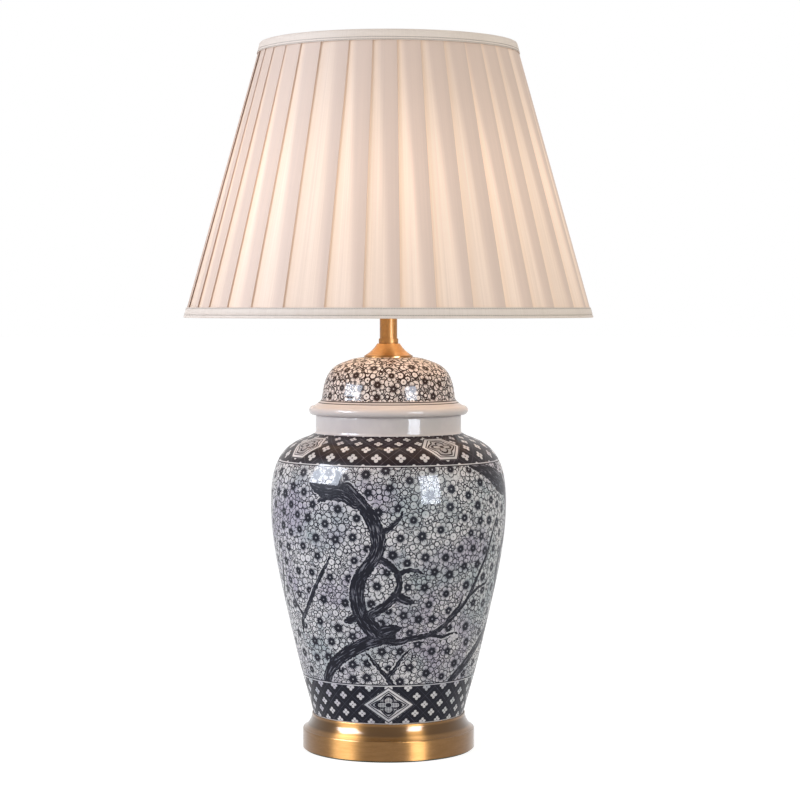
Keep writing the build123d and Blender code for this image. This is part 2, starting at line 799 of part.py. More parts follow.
# ---------------------------------------------------------------- clamp ring
clamp_z = shoulder_top_z + fitter_t
with BuildPart() as shade_clamp_ring:
    with BuildSketch(Plane.XY.offset(clamp_z)):
        Circle(holder_r + clamp_ring_w)
    extrude(amount=clamp_flange_t)
    with BuildSketch(Plane.XY.offset(clamp_z)):
        Circle(holder_r + clamp_ring_w - clamp_rib_r)
        with PolarLocations(holder_r + clamp_ring_w - clamp_rib_r, clamp_rib_count):
            Circle(clamp_rib_r)
    extrude(amount=clamp_ring_h)
    with BuildSketch(Plane.XY.offset(clamp_z)):
        Circle(holder_r + run_gap)
    extrude(amount=clamp_ring_h, mode=Mode.SUBTRACT)
finish(shade_clamp_ring, "shade_clamp_ring")
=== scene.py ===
"""Looks of the ginger jar table lamp: finishes, painted porcelain and pleated shade.

Metres in the lamp's own frame: +Z up, origin on the table under the axis, front to -Y.
Surface measures kept on meshes for the painted pattern are in millimetres.
Azimuths are degrees round the axis, 0 at the front and positive towards +X.
"""
import math
import random

import bpy
import numpy as np
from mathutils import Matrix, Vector
from mathutils.kdtree import KDTree


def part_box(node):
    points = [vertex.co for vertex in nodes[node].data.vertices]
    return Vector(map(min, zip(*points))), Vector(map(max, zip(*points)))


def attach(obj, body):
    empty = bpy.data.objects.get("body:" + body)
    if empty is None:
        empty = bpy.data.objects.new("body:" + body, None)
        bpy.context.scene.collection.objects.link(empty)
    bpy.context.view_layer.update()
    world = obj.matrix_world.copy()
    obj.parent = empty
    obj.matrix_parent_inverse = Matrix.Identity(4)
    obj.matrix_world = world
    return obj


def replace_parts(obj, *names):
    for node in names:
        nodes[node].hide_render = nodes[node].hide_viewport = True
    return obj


MM = 0.001
GOLDEN = 0.618034  # its multiples spread evenly over 0..1
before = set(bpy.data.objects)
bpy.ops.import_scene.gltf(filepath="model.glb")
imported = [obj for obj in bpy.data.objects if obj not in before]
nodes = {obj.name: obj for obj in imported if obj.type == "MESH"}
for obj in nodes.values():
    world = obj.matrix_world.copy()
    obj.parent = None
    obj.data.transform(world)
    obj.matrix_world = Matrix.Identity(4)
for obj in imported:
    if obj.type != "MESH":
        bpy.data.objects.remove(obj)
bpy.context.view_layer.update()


# ------------------------------------------------------------------ graph writing
class Wire:
    """An output of a node in a graph. Sums written on it add Math nodes."""

    def __init__(self, graph, socket):
        self.graph, self.socket = graph, socket

    def __add__(self, other):
        return self.graph.math("ADD", self, other)

    def __sub__(self, other):
        return self.graph.math("SUBTRACT", self, other)

    def __rsub__(self, other):
        return self.graph.math("SUBTRACT", other, self)

    def __mul__(self, other):
        return self.graph.math("MULTIPLY", self, other)

    def __truediv__(self, other):
        return self.graph.math("DIVIDE", self, other)

    def __rtruediv__(self, other):
        return self.graph.math("DIVIDE", other, self)

    __radd__, __rmul__ = __add__, __mul__


class Graph:
    """A tree of nodes, built by calls that each add one."""

    def __init__(self, tree):
        self.tree = tree

    def node(self, kind, **settings):
        made = self.tree.nodes.new(kind)
        for name, value in settings.items():
            setattr(made, name, value)
        return made

    def plug(self, value, socket):
        if isinstance(value, Wire):
            self.tree.links.new(value.socket, socket)
        elif hasattr(value, "__len__") and len(value) == 3 and len(socket.default_value) == 4:
            socket.default_value = (*value, 1)
        else:
            socket.default_value = value

    def wire(self, kind, inputs=(), output=0, **settings):
        """Adds a node, plugs in its inputs by name or number, and gives one output."""
        made = self.node(kind, **settings)
        for socket, value in dict(inputs).items():
            self.plug(value, made.inputs[socket])
        return Wire(self, made.outputs[output])

    def math(self, operation, *values):
        return self.wire("ShaderNodeMath", enumerate(values), operation=operation)

    def least(self, a, b):
        return self.math("MINIMUM", a, b)

    def most(self, a, b):
        return self.math("MAXIMUM", a, b)

    def size(self, value):
        return self.math("ABSOLUTE", value)

    def length(self, x, y):
        return self.math("SQRT", x * x + y * y)

    def step(self, value, low, high):
        """0 below low and 1 above high, with a soft change between; high may be below low."""
        ends = (high, low, 1, 0) if high < low else (low, high, 0, 1)
        inputs = enumerate((value, *ends))
        return self.wire("ShaderNodeMapRange", inputs, interpolation_type="SMOOTHSTEP")

    def line(self, value, at, half_width, soft=0.15):
        """1 along the line where value is at, in the value's own unit."""
        return self.step(self.size(value - at), half_width + soft, half_width)

    def over(self, below, above, cover):
        """above where cover is 1 and below where it is 0."""
        return below + (above - below) * cover

    def colour(self, factor, low, high):
        return self.wire("ShaderNodeMix", {"Factor": factor, 6: low, 7: high}, 2, data_type="RGBA")

    def place(self):
        """The point on the piece, in metres, as it lies at rest."""
        return self.wire("ShaderNodeTexCoord", output="Object")

    def parts(self, vector):
        made = self.node("ShaderNodeSeparateXYZ")
        self.plug(vector, made.inputs[0])
        return [Wire(self, output) for output in made.outputs]

    def vector(self, x=0.0, y=0.0, z=0.0):
        return self.wire("ShaderNodeCombineXYZ", enumerate((x, y, z)))

    def noise(self, where, scale, detail=2.0, roughness=0.5):
        inputs = {"Vector": where, "Scale": scale, "Detail": detail, "Roughness": roughness}
        return self.wire("ShaderNodeTexNoise", inputs)

    def grain(self, scale, detail=2.0, roughness=0.5):
        """Noise at the point on the piece."""
        return self.noise(self.place(), scale, detail, roughness)

    def cells(self, where, scale, feature, output, randomness):
        inputs = {"Vector": where, "Scale": scale, "Randomness": randomness}
        kind = {"feature": feature, "voronoi_dimensions": "2D"}
        return self.wire("ShaderNodeTexVoronoi", inputs, output, **kind)

    def chance(self, value):
        return self.wire("ShaderNodeTexWhiteNoise", {"W": value}, noise_dimensions="1D")

    def kept(self, name, output="Fac"):
        return self.wire("ShaderNodeAttribute", output=output, attribute_name=name)

    def round_axis(self):
        """Azimuth in radians, distance from the axis and height of the point, in metres."""
        x, y, z = self.parts(self.place())
        return self.math("ARCTAN2", x, 0.0 - y), self.length(x, y), z


class Finish(Graph):
    """One Principled material. Settings are inputs of its shader, with _ for each space."""

    def __init__(self, name, **settings):
        self.material = bpy.data.materials.new(name)
        self.material.use_nodes = True
        super().__init__(self.material.node_tree)
        self.tree.nodes.clear()
        self.shader = self.node("ShaderNodeBsdfPrincipled")
        output = self.node("ShaderNodeOutputMaterial")
        self.tree.links.new(self.shader.outputs[0], output.inputs["Surface"])
        for socket, value in settings.items():
            self.set(socket.replace("_", " "), value)

    def set(self, socket, value):
        self.plug(value, self.shader.inputs[socket])

    def relief(self, height, depth, strength):
        """Normals from a height; depth is in metres for a height of 1."""
        inputs = {"Strength": strength, "Distance": depth, "Height": height}
        self.set("Normal", self.wire("ShaderNodeBump", inputs))

    def tones(self, factor, first, second):
        """The base colour, from the first tone at 0 to the second at 1."""
        self.set("Base Color", self.colour(factor, first, second))


# ------------------------------------------------------------------ mesh writing
def stand(name, data, place=(0, 0, 0), facing=None):
    """A new object of the scene at a place, turned to face a point if one is given."""
    made = bpy.data.objects.new(name, data)
    made.location = place
    if facing:
        toward = Vector(facing) - Vector(place)
        made.rotation_euler = toward.to_track_quat("-Z", "Y").to_euler()
    bpy.context.scene.collection.objects.link(made)
    return made


def mesh_piece(name, points, faces, body, *materials):
    """A new smooth piece from points in metres, which rides on a body."""
    mesh = bpy.data.meshes.new(name)
    mesh.from_pydata([tuple(p) for p in points], [], [tuple(f) for f in faces])
    mesh.polygons.foreach_set("use_smooth", [True] * len(mesh.polygons))
    mesh.validate()
    mesh.update()
    for material in materials:
        mesh.materials.append(material)
    piece = stand(name, mesh)
    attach(piece, body)
    return piece


def thicken(piece, offset):
    """Makes a surface into cloth, with its thickness inwards at -1 and half each way at 0."""
    cloth = piece.modifiers.new("cloth", "SOLIDIFY")
    cloth.thickness, cloth.offset = CLOTH_T, offset


def keep(piece, name, values):
    """Stores one number or one vector for each point of the mesh."""
    values = np.asarray(values, np.float32)
    kind = ("FLOAT", "value") if values.ndim == 1 else ("FLOAT_VECTOR", "vector")
    made = piece.data.attributes.new(name, kind[0], "POINT")
    made.data.foreach_set(kind[1], values.ravel())


def grid_faces(rows, columns, closed=False):
    """Quads between rows of points that each run once round the axis."""
    row, column = np.meshgrid(
        np.arange(rows if closed else rows - 1), np.arange(columns), indexing="ij"
    )
    beyond = (column + 1) % columns
    low, high = row * columns, (row + 1) % rows * columns
    return np.stack((low + column, low + beyond, high + beyond, high + column), -1).reshape(-1, 4)


def at_azimuth(radius, angle, height):
    """The point or points at a radius, an azimuth in radians and a height."""
    spot = np.broadcast_arrays(radius * np.sin(angle), -radius * np.cos(angle), height)
    return np.stack(spot, axis=-1)


def turned(outline, columns, closed=False):
    """Points and faces of an outline of (radius, height) turned round the axis.

    Points run round the axis first, from azimuth 0 towards +X, then along the outline.
    An outline that runs upwards on the outside, or downwards inside, faces outwards.
    """
    angles = np.arange(columns) * math.tau / columns
    outline = np.asarray(outline, float)
    points = at_azimuth(outline[:, :1], angles, outline[:, 1:]).reshape(-1, 3)
    return points, grid_faces(len(outline), columns, closed)


def run_along(points):
    """Distance along a line of points, from its start."""
    legs = np.linalg.norm(np.diff(points, axis=0), axis=1)
    return np.concatenate([[0], np.cumsum(legs)])


def spaced(outline, step):
    """The same outline with its points about one step apart along it."""
    outline = np.asarray(outline, float)
    run = run_along(outline)
    at = np.linspace(0, run[-1], max(2, round(run[-1] / step) + 1))
    return np.stack([np.interp(at, run, outline[:, i]) for i in (0, 1)], axis=1)


def outline_of(node):
    """The section of a turned CAD node at +X, as one loop of (radius, height) points."""
    mesh = nodes[node].data
    spot = {}
    for vertex in mesh.vertices:
        if abs(vertex.co.y) < 1e-6 and vertex.co.x > 0:
            spot[vertex.index] = (round(vertex.co.x, 6), round(vertex.co.z, 6))
    beside = {}
    for edge in mesh.edges:
        a, b = (spot.get(i) for i in edge.vertices)
        if a and b and a != b:
            beside.setdefault(a, set()).add(b)
            beside.setdefault(b, set()).add(a)
    start = min(beside)
    loop, before = [start], None
    while True:
        here = loop[-1]
        onward = [p for p in beside[here] if p != before]
        if not onward or (len(loop) > 2 and start in onward):
            return loop
        before = here
        loop.append(onward[0])


# ------------------------------------------------------------------ camera and light
def add_camera(place, target, lens):
    data = bpy.data.cameras.new("camera")
    data.lens, data.sensor_width = lens, 36
    bpy.context.scene.camera = stand("camera", data, place, target)


def add_light(name, kind, energy, colour, place, facing=None, **settings):
    data = bpy.data.lights.new(name, kind)
    data.energy, data.color = energy, colour
    for setting, value in settings.items():
        setattr(data, setting, value)
    return stand(name, data, place, facing)


def add_panel(name, azimuth, elevation, distance, wide, high, radiance, tint, mirrored=False):
    """A panel that faces the jar, of a given brightness as seen from it. A mirrored one is
    a window that only shows in glossy surfaces, and any other only gives soft light."""
    aim = Vector((0, 0, 0.25))
    turn, tilt = math.radians(azimuth), math.radians(elevation)
    toward = Vector(at_azimuth(math.cos(tilt), turn, math.sin(tilt)))
    light = add_light(
        name, "AREA", radiance * math.pi * wide * high, tint, aim + toward * distance, aim,
        shape="RECTANGLE", size=wide, size_y=high,
    )
    light.visible_diffuse, light.visible_glossy = not mirrored, mirrored


def seen_directly(graph):
    """1 for camera, glossy and transmission rays, which see the white background."""
    camera, glossy, through = (
        graph.wire("ShaderNodeLightPath", output="Is %s Ray" % kind)
        for kind in ("Camera", "Glossy", "Transmission")
    )
    return graph.most(graph.most(camera, glossy), through)


def add_world(ambient):
    world = bpy.data.worlds.new("studio")
    bpy.context.scene.world = world
    world.use_nodes = True
    graph = Graph(world.node_tree)
    background = graph.tree.nodes["Background"].inputs
    graph.plug((1, 1, 1), background["Color"])
    graph.plug(graph.over(ambient, 1.0, seen_directly(graph)), background["Strength"])


def add_floor():
    """A pale floor that looks white but keeps the lamp's soft shadow, and can be looked
    through from below."""
    graph = Finish("floor", Roughness=0.9, Specular_IOR_Level=0.0)
    seen = seen_directly(graph)
    graph.tones(seen, (0.8, 0.8, 0.8), (0.3, 0.3, 0.3))
    graph.set("Emission Color", (1, 1, 1))
    graph.set("Emission Strength", seen * 0.86)
    graph.set("Alpha", 1 - graph.wire("ShaderNodeNewGeometry", output="Backfacing"))
    mesh = bpy.data.meshes.new("floor")
    reach = 30.0
    corners = [(-reach, -reach, 0), (reach, -reach, 0), (reach, reach, 0), (-reach, reach, 0)]
    mesh.from_pydata(corners, [], [(0, 1, 2, 3)])
    mesh.materials.append(graph.material)
    stand("floor", mesh)


def add_bulb_light():
    """The bulb's light on the lining, and the warm light that the lit lining throws down
    on the lid."""
    add_light("bulb_light", "POINT", 0.4, (1.0, 0.8, 0.66), (0, 0, bulb_z), shadow_soft_size=0.024)
    radius = 0.16
    disc = add_light(
        "lining_light", "AREA", 0.72 * (math.pi * radius) ** 2, (1.0, 0.68, 0.45),
        (0, 0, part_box("shade_bottom_trim")[1].z), shape="DISK", size=2 * radius,
    )
    disc.visible_camera = False


globe_low, globe_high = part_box("bulb_globe")
bulb_z = globe_high.z - (globe_high.x - globe_low.x) / 2  # middle of the bulb's glow
WINDOW_TINT = (0.91, 0.99, 1.13)
add_camera(place=(0, -2.32, 0.443), target=(0.0115, 0, 0.349), lens=104.4)
add_world(ambient=0.55)
add_floor()
add_panel("left_soft", -64, 14, 1.7, 1.3, 1.3, radiance=2.6, tint=(0.95, 0.99, 1.06))
add_panel("right_soft", 54, 17, 1.8, 1.0, 1.0, radiance=2.4, tint=(1.0, 0.97, 0.82))
add_panel("left_window", -66, 26.6, 1.7, 0.98, 0.87, radiance=40, tint=WINDOW_TINT, mirrored=True)
add_panel("right_window", 40, 13, 1.6, 0.55, 0.78, radiance=38, tint=WINDOW_TINT, mirrored=True)
add_bulb_light()
bpy.context.scene.view_settings.view_transform = "Standard"


# ------------------------------------------------------------------ metals and small parts
def brushed_metal(name, tone, dark, roughness=0.38, spread=0.97, coat=0.5, darkened_bands=()):
    """Spun metal with fine scratches round the axis, so highlights run up and down,
    under a thin clear lacquer. Each darkened band is (bottom, top, how much, soft edge),
    where the base colour is painted darker."""
    graph = Finish(name, Metallic=1.0, Anisotropic=spread, Anisotropic_Rotation=0.25,
                   Coat_Weight=coat, Coat_Roughness=0.14, Coat_IOR=1.5)
    azimuth, radius, height = graph.round_axis()
    across = graph.vector(azimuth * 0.012, radius, height)
    scratch = graph.noise(across, 2600, 3, 0.6)
    band = graph.noise(across, 420, 2, 0.5)
    cloud = graph.grain(26, 3, 0.55)
    shade = graph.step(scratch * 0.5 + band * 0.5, 0.28, 0.72)
    metal = graph.colour(shade * 0.7 + cloud * 0.3, dark, tone)
    # Each band paints the base colour darker.
    for bottom, top, much, soft in darkened_bands:
        part = graph.step(height, bottom, bottom + soft) * graph.step(height, top, top - soft)
        metal = graph.colour(part * much, metal, [c * 0.5 for c in dark])
    graph.set("Base Color", metal)
    graph.set("Roughness", roughness - 0.05 + scratch * 0.06 + cloud * 0.04)
    graph.relief(scratch, 0.000004, 0.5)
    graph.set("Tangent", graph.wire("ShaderNodeTangent", direction_type="RADIAL", axis="Z"))
    return graph.material


def plain_metal(name, tone, dark, roughness=0.3, grain=900):
    """Turned, pressed or cast metal with a fine grain and darker, duller patches."""
    graph = Finish(name, Metallic=1.0)
    grain_noise = graph.grain(grain, 3, 0.6)
    patch = graph.grain(50, 3, 0.55)
    graph.tones(graph.step(patch, 0.15, 0.75), dark, tone)
    graph.set("Roughness", roughness + (grain_noise - 0.5) * 0.1 + (patch - 0.5) * 0.12)
    graph.relief(grain_noise, 0.00004, 0.5)
    return graph.material


def moulded(name, tone, dark, roughness=0.45, grain=1200, depth=0.00005):
    """Moulded plastic, rubber, ceramic or card: an even colour with a fine texture."""
    graph = Finish(name)
    grain_noise = graph.grain(grain, 3, 0.6)
    patch = graph.grain(60, 3, 0.5)
    graph.tones(graph.step(patch, 0.3, 0.7), dark, tone)
    graph.set("Roughness", roughness + (grain_noise - 0.5) * 0.12)
    graph.relief(grain_noise, depth, 0.6)
    return graph.material


def felted(name, tone, dark):
    """Pressed felt: short crossed fibres in two shades."""
    graph = Finish(name, Roughness=0.95, Sheen_Weight=0.4, Sheen_Roughness=0.5)
    x, y, z = graph.parts(graph.place())
    first = graph.noise(graph.vector(x * 0.3, y, z), 2600, 3, 0.65)
    second = graph.noise(graph.vector(x, y * 0.3, z), 2600, 3, 0.65)
    fibre = graph.most(first, second)
    graph.tones(graph.step(fibre, 0.45, 0.7), dark, tone)
    graph.relief(fibre, 0.0003, 0.8)
    return graph.material


def dress(material, *names):
    """Gives CAD nodes a finish."""
    for name in names:
        slots = nodes[name].data.materials
        slots.clear()
        slots.append(material)


lip_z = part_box("base_shell")[1].z
cap_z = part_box("vase_cap")[0].z
# On the base, the darkened band is painted shade in the flare under the jar's foot.
brass = brushed_metal("brushed_brass", (0.255, 0.13, 0.043), (0.18, 0.085, 0.021),
                      darkened_bands=[(lip_z - 13 * MM, lip_z - 1.2 * MM, 0.85, 2.5 * MM)])
# On the vase cap, the band just above its rim is painted darker.
spun = brushed_metal("spun_brass", (0.52, 0.28, 0.1), (0.38, 0.19, 0.065), 0.36, 0.85, 0.2,
                     darkened_bands=[(cap_z + 0.7 * MM, cap_z + 2.0 * MM, 0.95, 0.4 * MM)])
satin = brushed_metal("satin_brass", (0.4, 0.21, 0.072), (0.29, 0.145, 0.05), 0.5, 0.6, 0.1)
dress(brass, "base_shell")
dress(spun, "vase_cap")
dress(satin, "neck_collar", "neck_tube")
dress(
    plain_metal("pressed_brass", (0.62, 0.42, 0.19), (0.45, 0.28, 0.11), 0.28),
    "holder_cap", "holder_sleeve",
)
dress(
    plain_metal("contact_brass", (0.72, 0.5, 0.24), (0.5, 0.31, 0.13), 0.24),
    "holder_screw_shell", "holder_contact",
)
dress(
    plain_metal("zinc_steel", (0.58, 0.58, 0.56), (0.38, 0.39, 0.38), 0.36),
    "base_washer", "base_nut", "threaded_tube", "terminal_screws",
)
nickel = plain_metal("nickelled_cap", (0.66, 0.63, 0.58), (0.45, 0.42, 0.37), 0.25)
dress(nickel, "bulb_contact")
dress(plain_metal("cast_iron", (0.1, 0.1, 0.1), (0.05, 0.05, 0.055), 0.6, 350), "base_weight")
dress(moulded("rubber_bush", (0.03, 0.03, 0.03), (0.018, 0.018, 0.018), 0.6), "cord_grommet")
dress(moulded("gasket_foam", (0.25, 0.24, 0.22), (0.14, 0.13, 0.12), 0.9, 1500), "jar_gasket")
dress(moulded("steatite", (0.75, 0.72, 0.66), (0.62, 0.58, 0.52), 0.4), "holder_insert")
dress(moulded("insulating_card", (0.42, 0.28, 0.15), (0.3, 0.19, 0.1), 0.65), "holder_liner")
dress(moulded("black_switch", (0.02, 0.02, 0.021), (0.012, 0.012, 0.012), 0.32),
      "switch_push_bar", "switch_buttons")
dress(moulded("lamp_insulator", (0.03, 0.028, 0.03), (0.015, 0.015, 0.016), 0.3),
      "bulb_insulator")
dress(moulded("white_clamp", (0.72, 0.7, 0.65), (0.6, 0.57, 0.52), 0.38), "shade_clamp_ring")
dress(
    moulded("white_wire", (0.74, 0.7, 0.64), (0.6, 0.55, 0.49), 0.42, 700, 0.0001),
    "shade_struts", "shade_arms", "shade_fitter_ring", "shade_bottom_ring", "shade_top_ring",
)
dress(felted("green_felt", (0.06, 0.1, 0.07), (0.025, 0.05, 0.03)), "base_felt")


def lamp_glass():
    """Frosted glass of a lit bulb, brightest over the filaments and dim at its neck."""
    graph = Finish("frosted_glass", Base_Color=(0.9, 0.86, 0.8), Roughness=0.35)
    height = graph.round_axis()[2]
    lit = graph.step(height, globe_low.z + 0.02, globe_high.z - 0.045)
    frost = graph.grain(1500, 2)
    graph.set("Emission Color", graph.colour(lit, (1.0, 0.62, 0.34), (1.0, 0.83, 0.62)))
    graph.set("Emission Strength", lit * 5.0 + 0.8)
    graph.relief(frost, 0.00003, 0.5)
    return graph.material


def glowing(name, colour, strength):
    graph = Finish(name, Base_Color=colour, Emission_Color=colour, Emission_Strength=strength)
    graph.set("Roughness", 0.4 + graph.grain(400) * 0.2)
    return graph.material


dress(lamp_glass(), "bulb_globe")
dress(glowing("filament", (1.0, 0.7, 0.4), 6.0), "bulb_filaments")
dress(glowing("glass_stem", (0.8, 0.78, 0.72), 0.4), "bulb_stem")


def threaded_cap(pitch, deep):
    """The lamp's thin metal cap, rolled into a right-hand thread below its glass neck."""
    low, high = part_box("bulb_cap")
    outline = outline_of("bulb_cap")
    outline = spaced([*outline, outline[0]], 0.35 * MM)[:-1]
    points, faces = turned(outline, 96, closed=True)
    x, y, height = points.T
    radius, angle = np.hypot(x, y), np.arctan2(x, -y)
    wall = np.clip((radius - high.x + 0.9 * MM) / (0.3 * MM), 0, 1)
    start = np.clip((height - low.z - 2.4 * MM) / (1.2 * MM), 0, 1)
    end = np.clip((high.z - 4.2 * MM - height) / (1.5 * MM), 0, 1)
    wave = 0.5 - 0.5 * np.cos(math.tau * height / pitch - angle)
    shrink = 1 - deep * wave * wall * start * end / np.maximum(radius, MM)
    points = np.stack([x * shrink, y * shrink, height], axis=-1)
    return mesh_piece("lamp_cap", points, faces, "bulb", nickel)


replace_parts(threaded_cap(3.629 * MM, 0.8 * MM), "bulb_cap")
nodes["bulb_globe"].visible_shadow = False
nodes["bulb_globe"].visible_diffuse = False


# ------------------------------------------------------------------ painted porcelain
COLUMNS = 400
ROW_STEP = 1.75 * MM

# Borders and zones of the jar, as heights in millimetres.
LOW_BORDER_Z = (36.7, 74.5)
HIGH_BORDER_Z = (290.5, 316.3)
# Flowers round each border, how blunt its panels are, the turn of the first one in degrees,
# their half width and half height in mm, and the lattice's lift as a share of its pitch.
BORDERS = (
    dict(span=LOW_BORDER_Z, count=28, blunt=0.0, turn=0.0, wide=26.0, high=19.5, lift=0.0),
    dict(span=HIGH_BORDER_Z, count=28, blunt=0.45, turn=33.0, wide=23.0, high=18.0, lift=0.25),
)
PANELS = 4  # in each border
FLANGE_TOP_Z = 345.5  # top of the lid's plain flange; its painted lines stand above it

# Branches: (azimuth, height in mm, half width in mm) at listed points.
TRUNKS = {
    "front_crown": [(-41, 272, 1.0), (-36, 268, 4.8), (-30, 265, 7.6), (-24.5, 266, 9.5),
        (-19.5, 262, 8.0), (-15.5, 256, 6.5)],
    "front_stub": [(-30, 261, 4.0), (-33, 257.5, 2.6), (-35.5, 255, 0.8)],
    "front_snag": [(-24, 268, 6), (-25, 277, 4.0), (-25.5, 285, 1.0)],
    "front_trunk": [(-20, 269, 6), (-13.5, 256, 6.0), (-8, 240, 6.8), (-5, 222, 7.4), (-6, 206, 6.6),
        (-10.5, 193, 6.4), (-15, 180, 7.0), (-16.5, 163, 7.6), (-15, 147, 7.6), (-10, 134, 8.6),
        (-5, 125, 7.6)],
    "front_loop": [(-8, 204, 4), (-1, 198, 3.4), (4, 188, 3.0), (5.5, 176, 3.2), (3, 164, 3.8),
        (-3, 154, 4.6), (-9, 147, 5)],
    "loop_spur": [(4, 186, 3), (9, 190, 2.4), (14, 190, 1.8), (18, 187, 0.6)],
    "loop_burr": [(3, 166, 4), (9, 161, 4.4), (13, 158, 1.6)],
    "front_root": [(2.5, 124, 3), (-6, 121.5, 6.2), (-14, 117, 6.6), (-24, 108, 6.4), (-33, 98, 6.2),
        (-40, 87, 5.4), (-44, 76, 5.0)],
    "front_bough": [(-3, 122, 4.6), (4, 119, 3.4), (12, 122.5, 3.0), (22, 125, 2.6), (31, 132, 2.5),
        (40, 146, 2.3), (47, 160, 2.2), (52, 180, 2.0), (57, 200, 1.8), (61, 222, 1.5), (64, 236, 0.8)],
    "front_twig": [(24, 125.5, 2.0), (32, 123, 1.6), (39, 125.5, 1.2), (45, 124, 0.6)],
    "front_fork": [(47, 160, 2.0), (54, 168, 1.6), (61, 172, 1.2), (66, 180, 0.6)],
    "front_burr": [(-16, 146, 4), (-21, 141, 4.0), (-25, 139, 1.0)],
    "root_burr": [(-5, 128, 7), (1, 131, 6.0), (6, 134, 2.0)],
    "side_twig_front": [(33, 133, 2.2), (36, 143, 1.7), (41, 153, 1.2), (43, 163, 0.6)],
    "high_twig": [(-5, 226, 4), (1, 232, 2.4), (5, 240, 1.6), (7, 249, 0.6)],
    "low_stem": [(3, 74, 3.0), (-2, 86, 2.4), (-9, 99, 1.8), (-13, 108, 0.7)],
    "low_fork": [(-1, 84, 2.4), (4, 93, 1.9), (8, 104, 1.4), (13, 112, 0.6)],
    "left_bough": [(-58, 122, 1.0), (-57, 134, 2.4), (-51, 146, 2.3), (-45, 160, 2.2), (-38, 178, 2.0),
        (-33, 192, 1.6), (-29, 203, 0.7)],
    "left_fork": [(-54, 140, 2.2), (-60, 152, 1.8), (-62, 164, 1.2), (-66, 174, 0.6)],
    "right_crown": [(45, 288, 1.5), (50, 286.5, 4.5), (56, 283, 6.5), (63, 277, 9.5), (71, 269, 11),
        (80, 261, 6)],
    "right_trunk": [(74, 272, 7), (80, 254, 6), (83, 236, 5.6), (81, 218, 5.2), (76, 202, 4.6),
        (74, 186, 4.4), (78, 170, 4.8), (84, 156, 5.2), (86, 142, 5.4), (80, 126, 5.6), (70, 112, 5.4),
        (60, 98, 5.0), (51, 86, 4.6), (44, 76, 4.2)],
    "right_bough": [(85, 150, 4), (94, 160, 3.0), (102, 176, 2.6), (108, 196, 2.2), (112, 216, 1.8),
        (113, 234, 0.8)],
    "back_trunk": [(176, 72, 7.5), (181, 90, 7.2), (189, 108, 6.8), (192, 128, 6.4), (187, 148, 6.6),
        (178, 166, 6.8), (172, 186, 6.2), (174, 206, 5.8), (182, 224, 6.2), (190, 242, 6.6),
        (191, 260, 7.0), (184, 276, 8.0), (178, 294, 7.0)],
    "back_crown": [(205, 286, 1.5), (198, 282, 7), (190, 275, 11), (182, 270, 8)],
    "back_bough": [(190, 118, 5), (200, 124, 3.6), (211, 128, 3.0), (222, 138, 2.6), (230, 154, 2.2),
        (236, 174, 1.8), (238, 192, 0.8)],
    "back_arm": [(176, 170, 5), (166, 178, 3.4), (156, 182, 2.8), (147, 192, 2.4), (141, 208, 2.0),
        (138, 226, 1.6), (138, 242, 0.7)],
    "side_stem": [(118, 74, 4.6), (124, 90, 4.4), (132, 106, 4.0), (136, 124, 3.4), (134, 142, 2.8),
        (129, 156, 2.0), (127, 168, 0.8)],
    "side_twig": [(131, 104, 3), (141, 108, 2.2), (150, 116, 1.6), (157, 128, 0.7)],
    "far_trunk": [(246, 74, 6.0), (249, 90, 5.8), (256, 106, 5.4), (262, 122, 5.2), (262, 140, 5.0),
        (256, 158, 4.8), (252, 176, 4.6), (256, 196, 4.4), (264, 214, 4.4), (268, 234, 5.0),
        (264, 252, 6.0), (256, 266, 8.0)],
    "far_crown": [(240, 283, 1.5), (247, 278, 7), (255, 270, 11), (263, 262, 7)],
    "far_bough": [(262, 136, 4), (271, 142, 3.0), (280, 152, 2.6), (287, 168, 2.2), (291, 186, 1.8),
        (292, 202, 0.8)],
}
SEAM_BRANCH = "back_trunk"  # the small circles' wrap is hidden under it

BLOOM_GAP, LID_BLOOM_GAP = 13.6, 12.5  # least distance between blossoms, mm
BLOOM_CLEAR = 2.0  # mm from a blossom's centre to a branch's edge
MOST_BLOOMS, BLOOM_TRIES = 2500, 14000
FAR = 40.0  # mm, for points that no branch comes near


def wrapped(angle):
    """The same angle between minus half a turn and half a turn."""
    return (angle + math.pi) % math.tau - math.pi


def tree_of(points):
    """A search tree for the nearest of some points."""
    tree = KDTree(len(points))
    for i, point in enumerate(points):
        tree.insert(point, i)
    tree.balance()
    return tree


def smooth_line(points, parts=8):
    """A smooth curve through given rows of numbers (Catmull-Rom)."""
    rows = np.asarray(points, float)
    rows = np.vstack([2 * rows[0] - rows[1], rows, 2 * rows[-1] - rows[-2]])
    t = np.linspace(0, 1, parts, endpoint=False)[:, None]
    out = []
    for a, b, c, d in zip(rows, rows[1:], rows[2:], rows[3:]):
        out.append(
            0.5 * (2 * b + (c - a) * t + (2 * a - 5 * b + 4 * c - d) * t**2
                   + (3 * b - a - 3 * c + d) * t**3)
        )
    return np.vstack([*out, rows[-2:-1]])


class Skin:
    """The outer surface of a turned porcelain piece: its outline in metres, the distance
    run along it, and turns, the same distance divided by the radius on the way."""

    def __init__(self, outline):
        self.outline = outline
        self.run = run_along(outline)
        mean_radius = (outline[1:, 0] + outline[:-1, 0]) / 2
        legs = np.linalg.norm(np.diff(outline, axis=0), axis=1)
        self.turns = np.concatenate([[0], np.cumsum(legs / mean_radius)])

    def at_height(self, height_mm, values):
        return np.interp(height_mm, self.outline[:, 1] / MM, values)

    def point(self, azimuth, height_mm):
        """Points in millimetres for azimuths in radians and heights in millimetres."""
        radius = self.at_height(height_mm, self.outline[:, 0]) / MM
        return at_azimuth(radius, azimuth, height_mm)


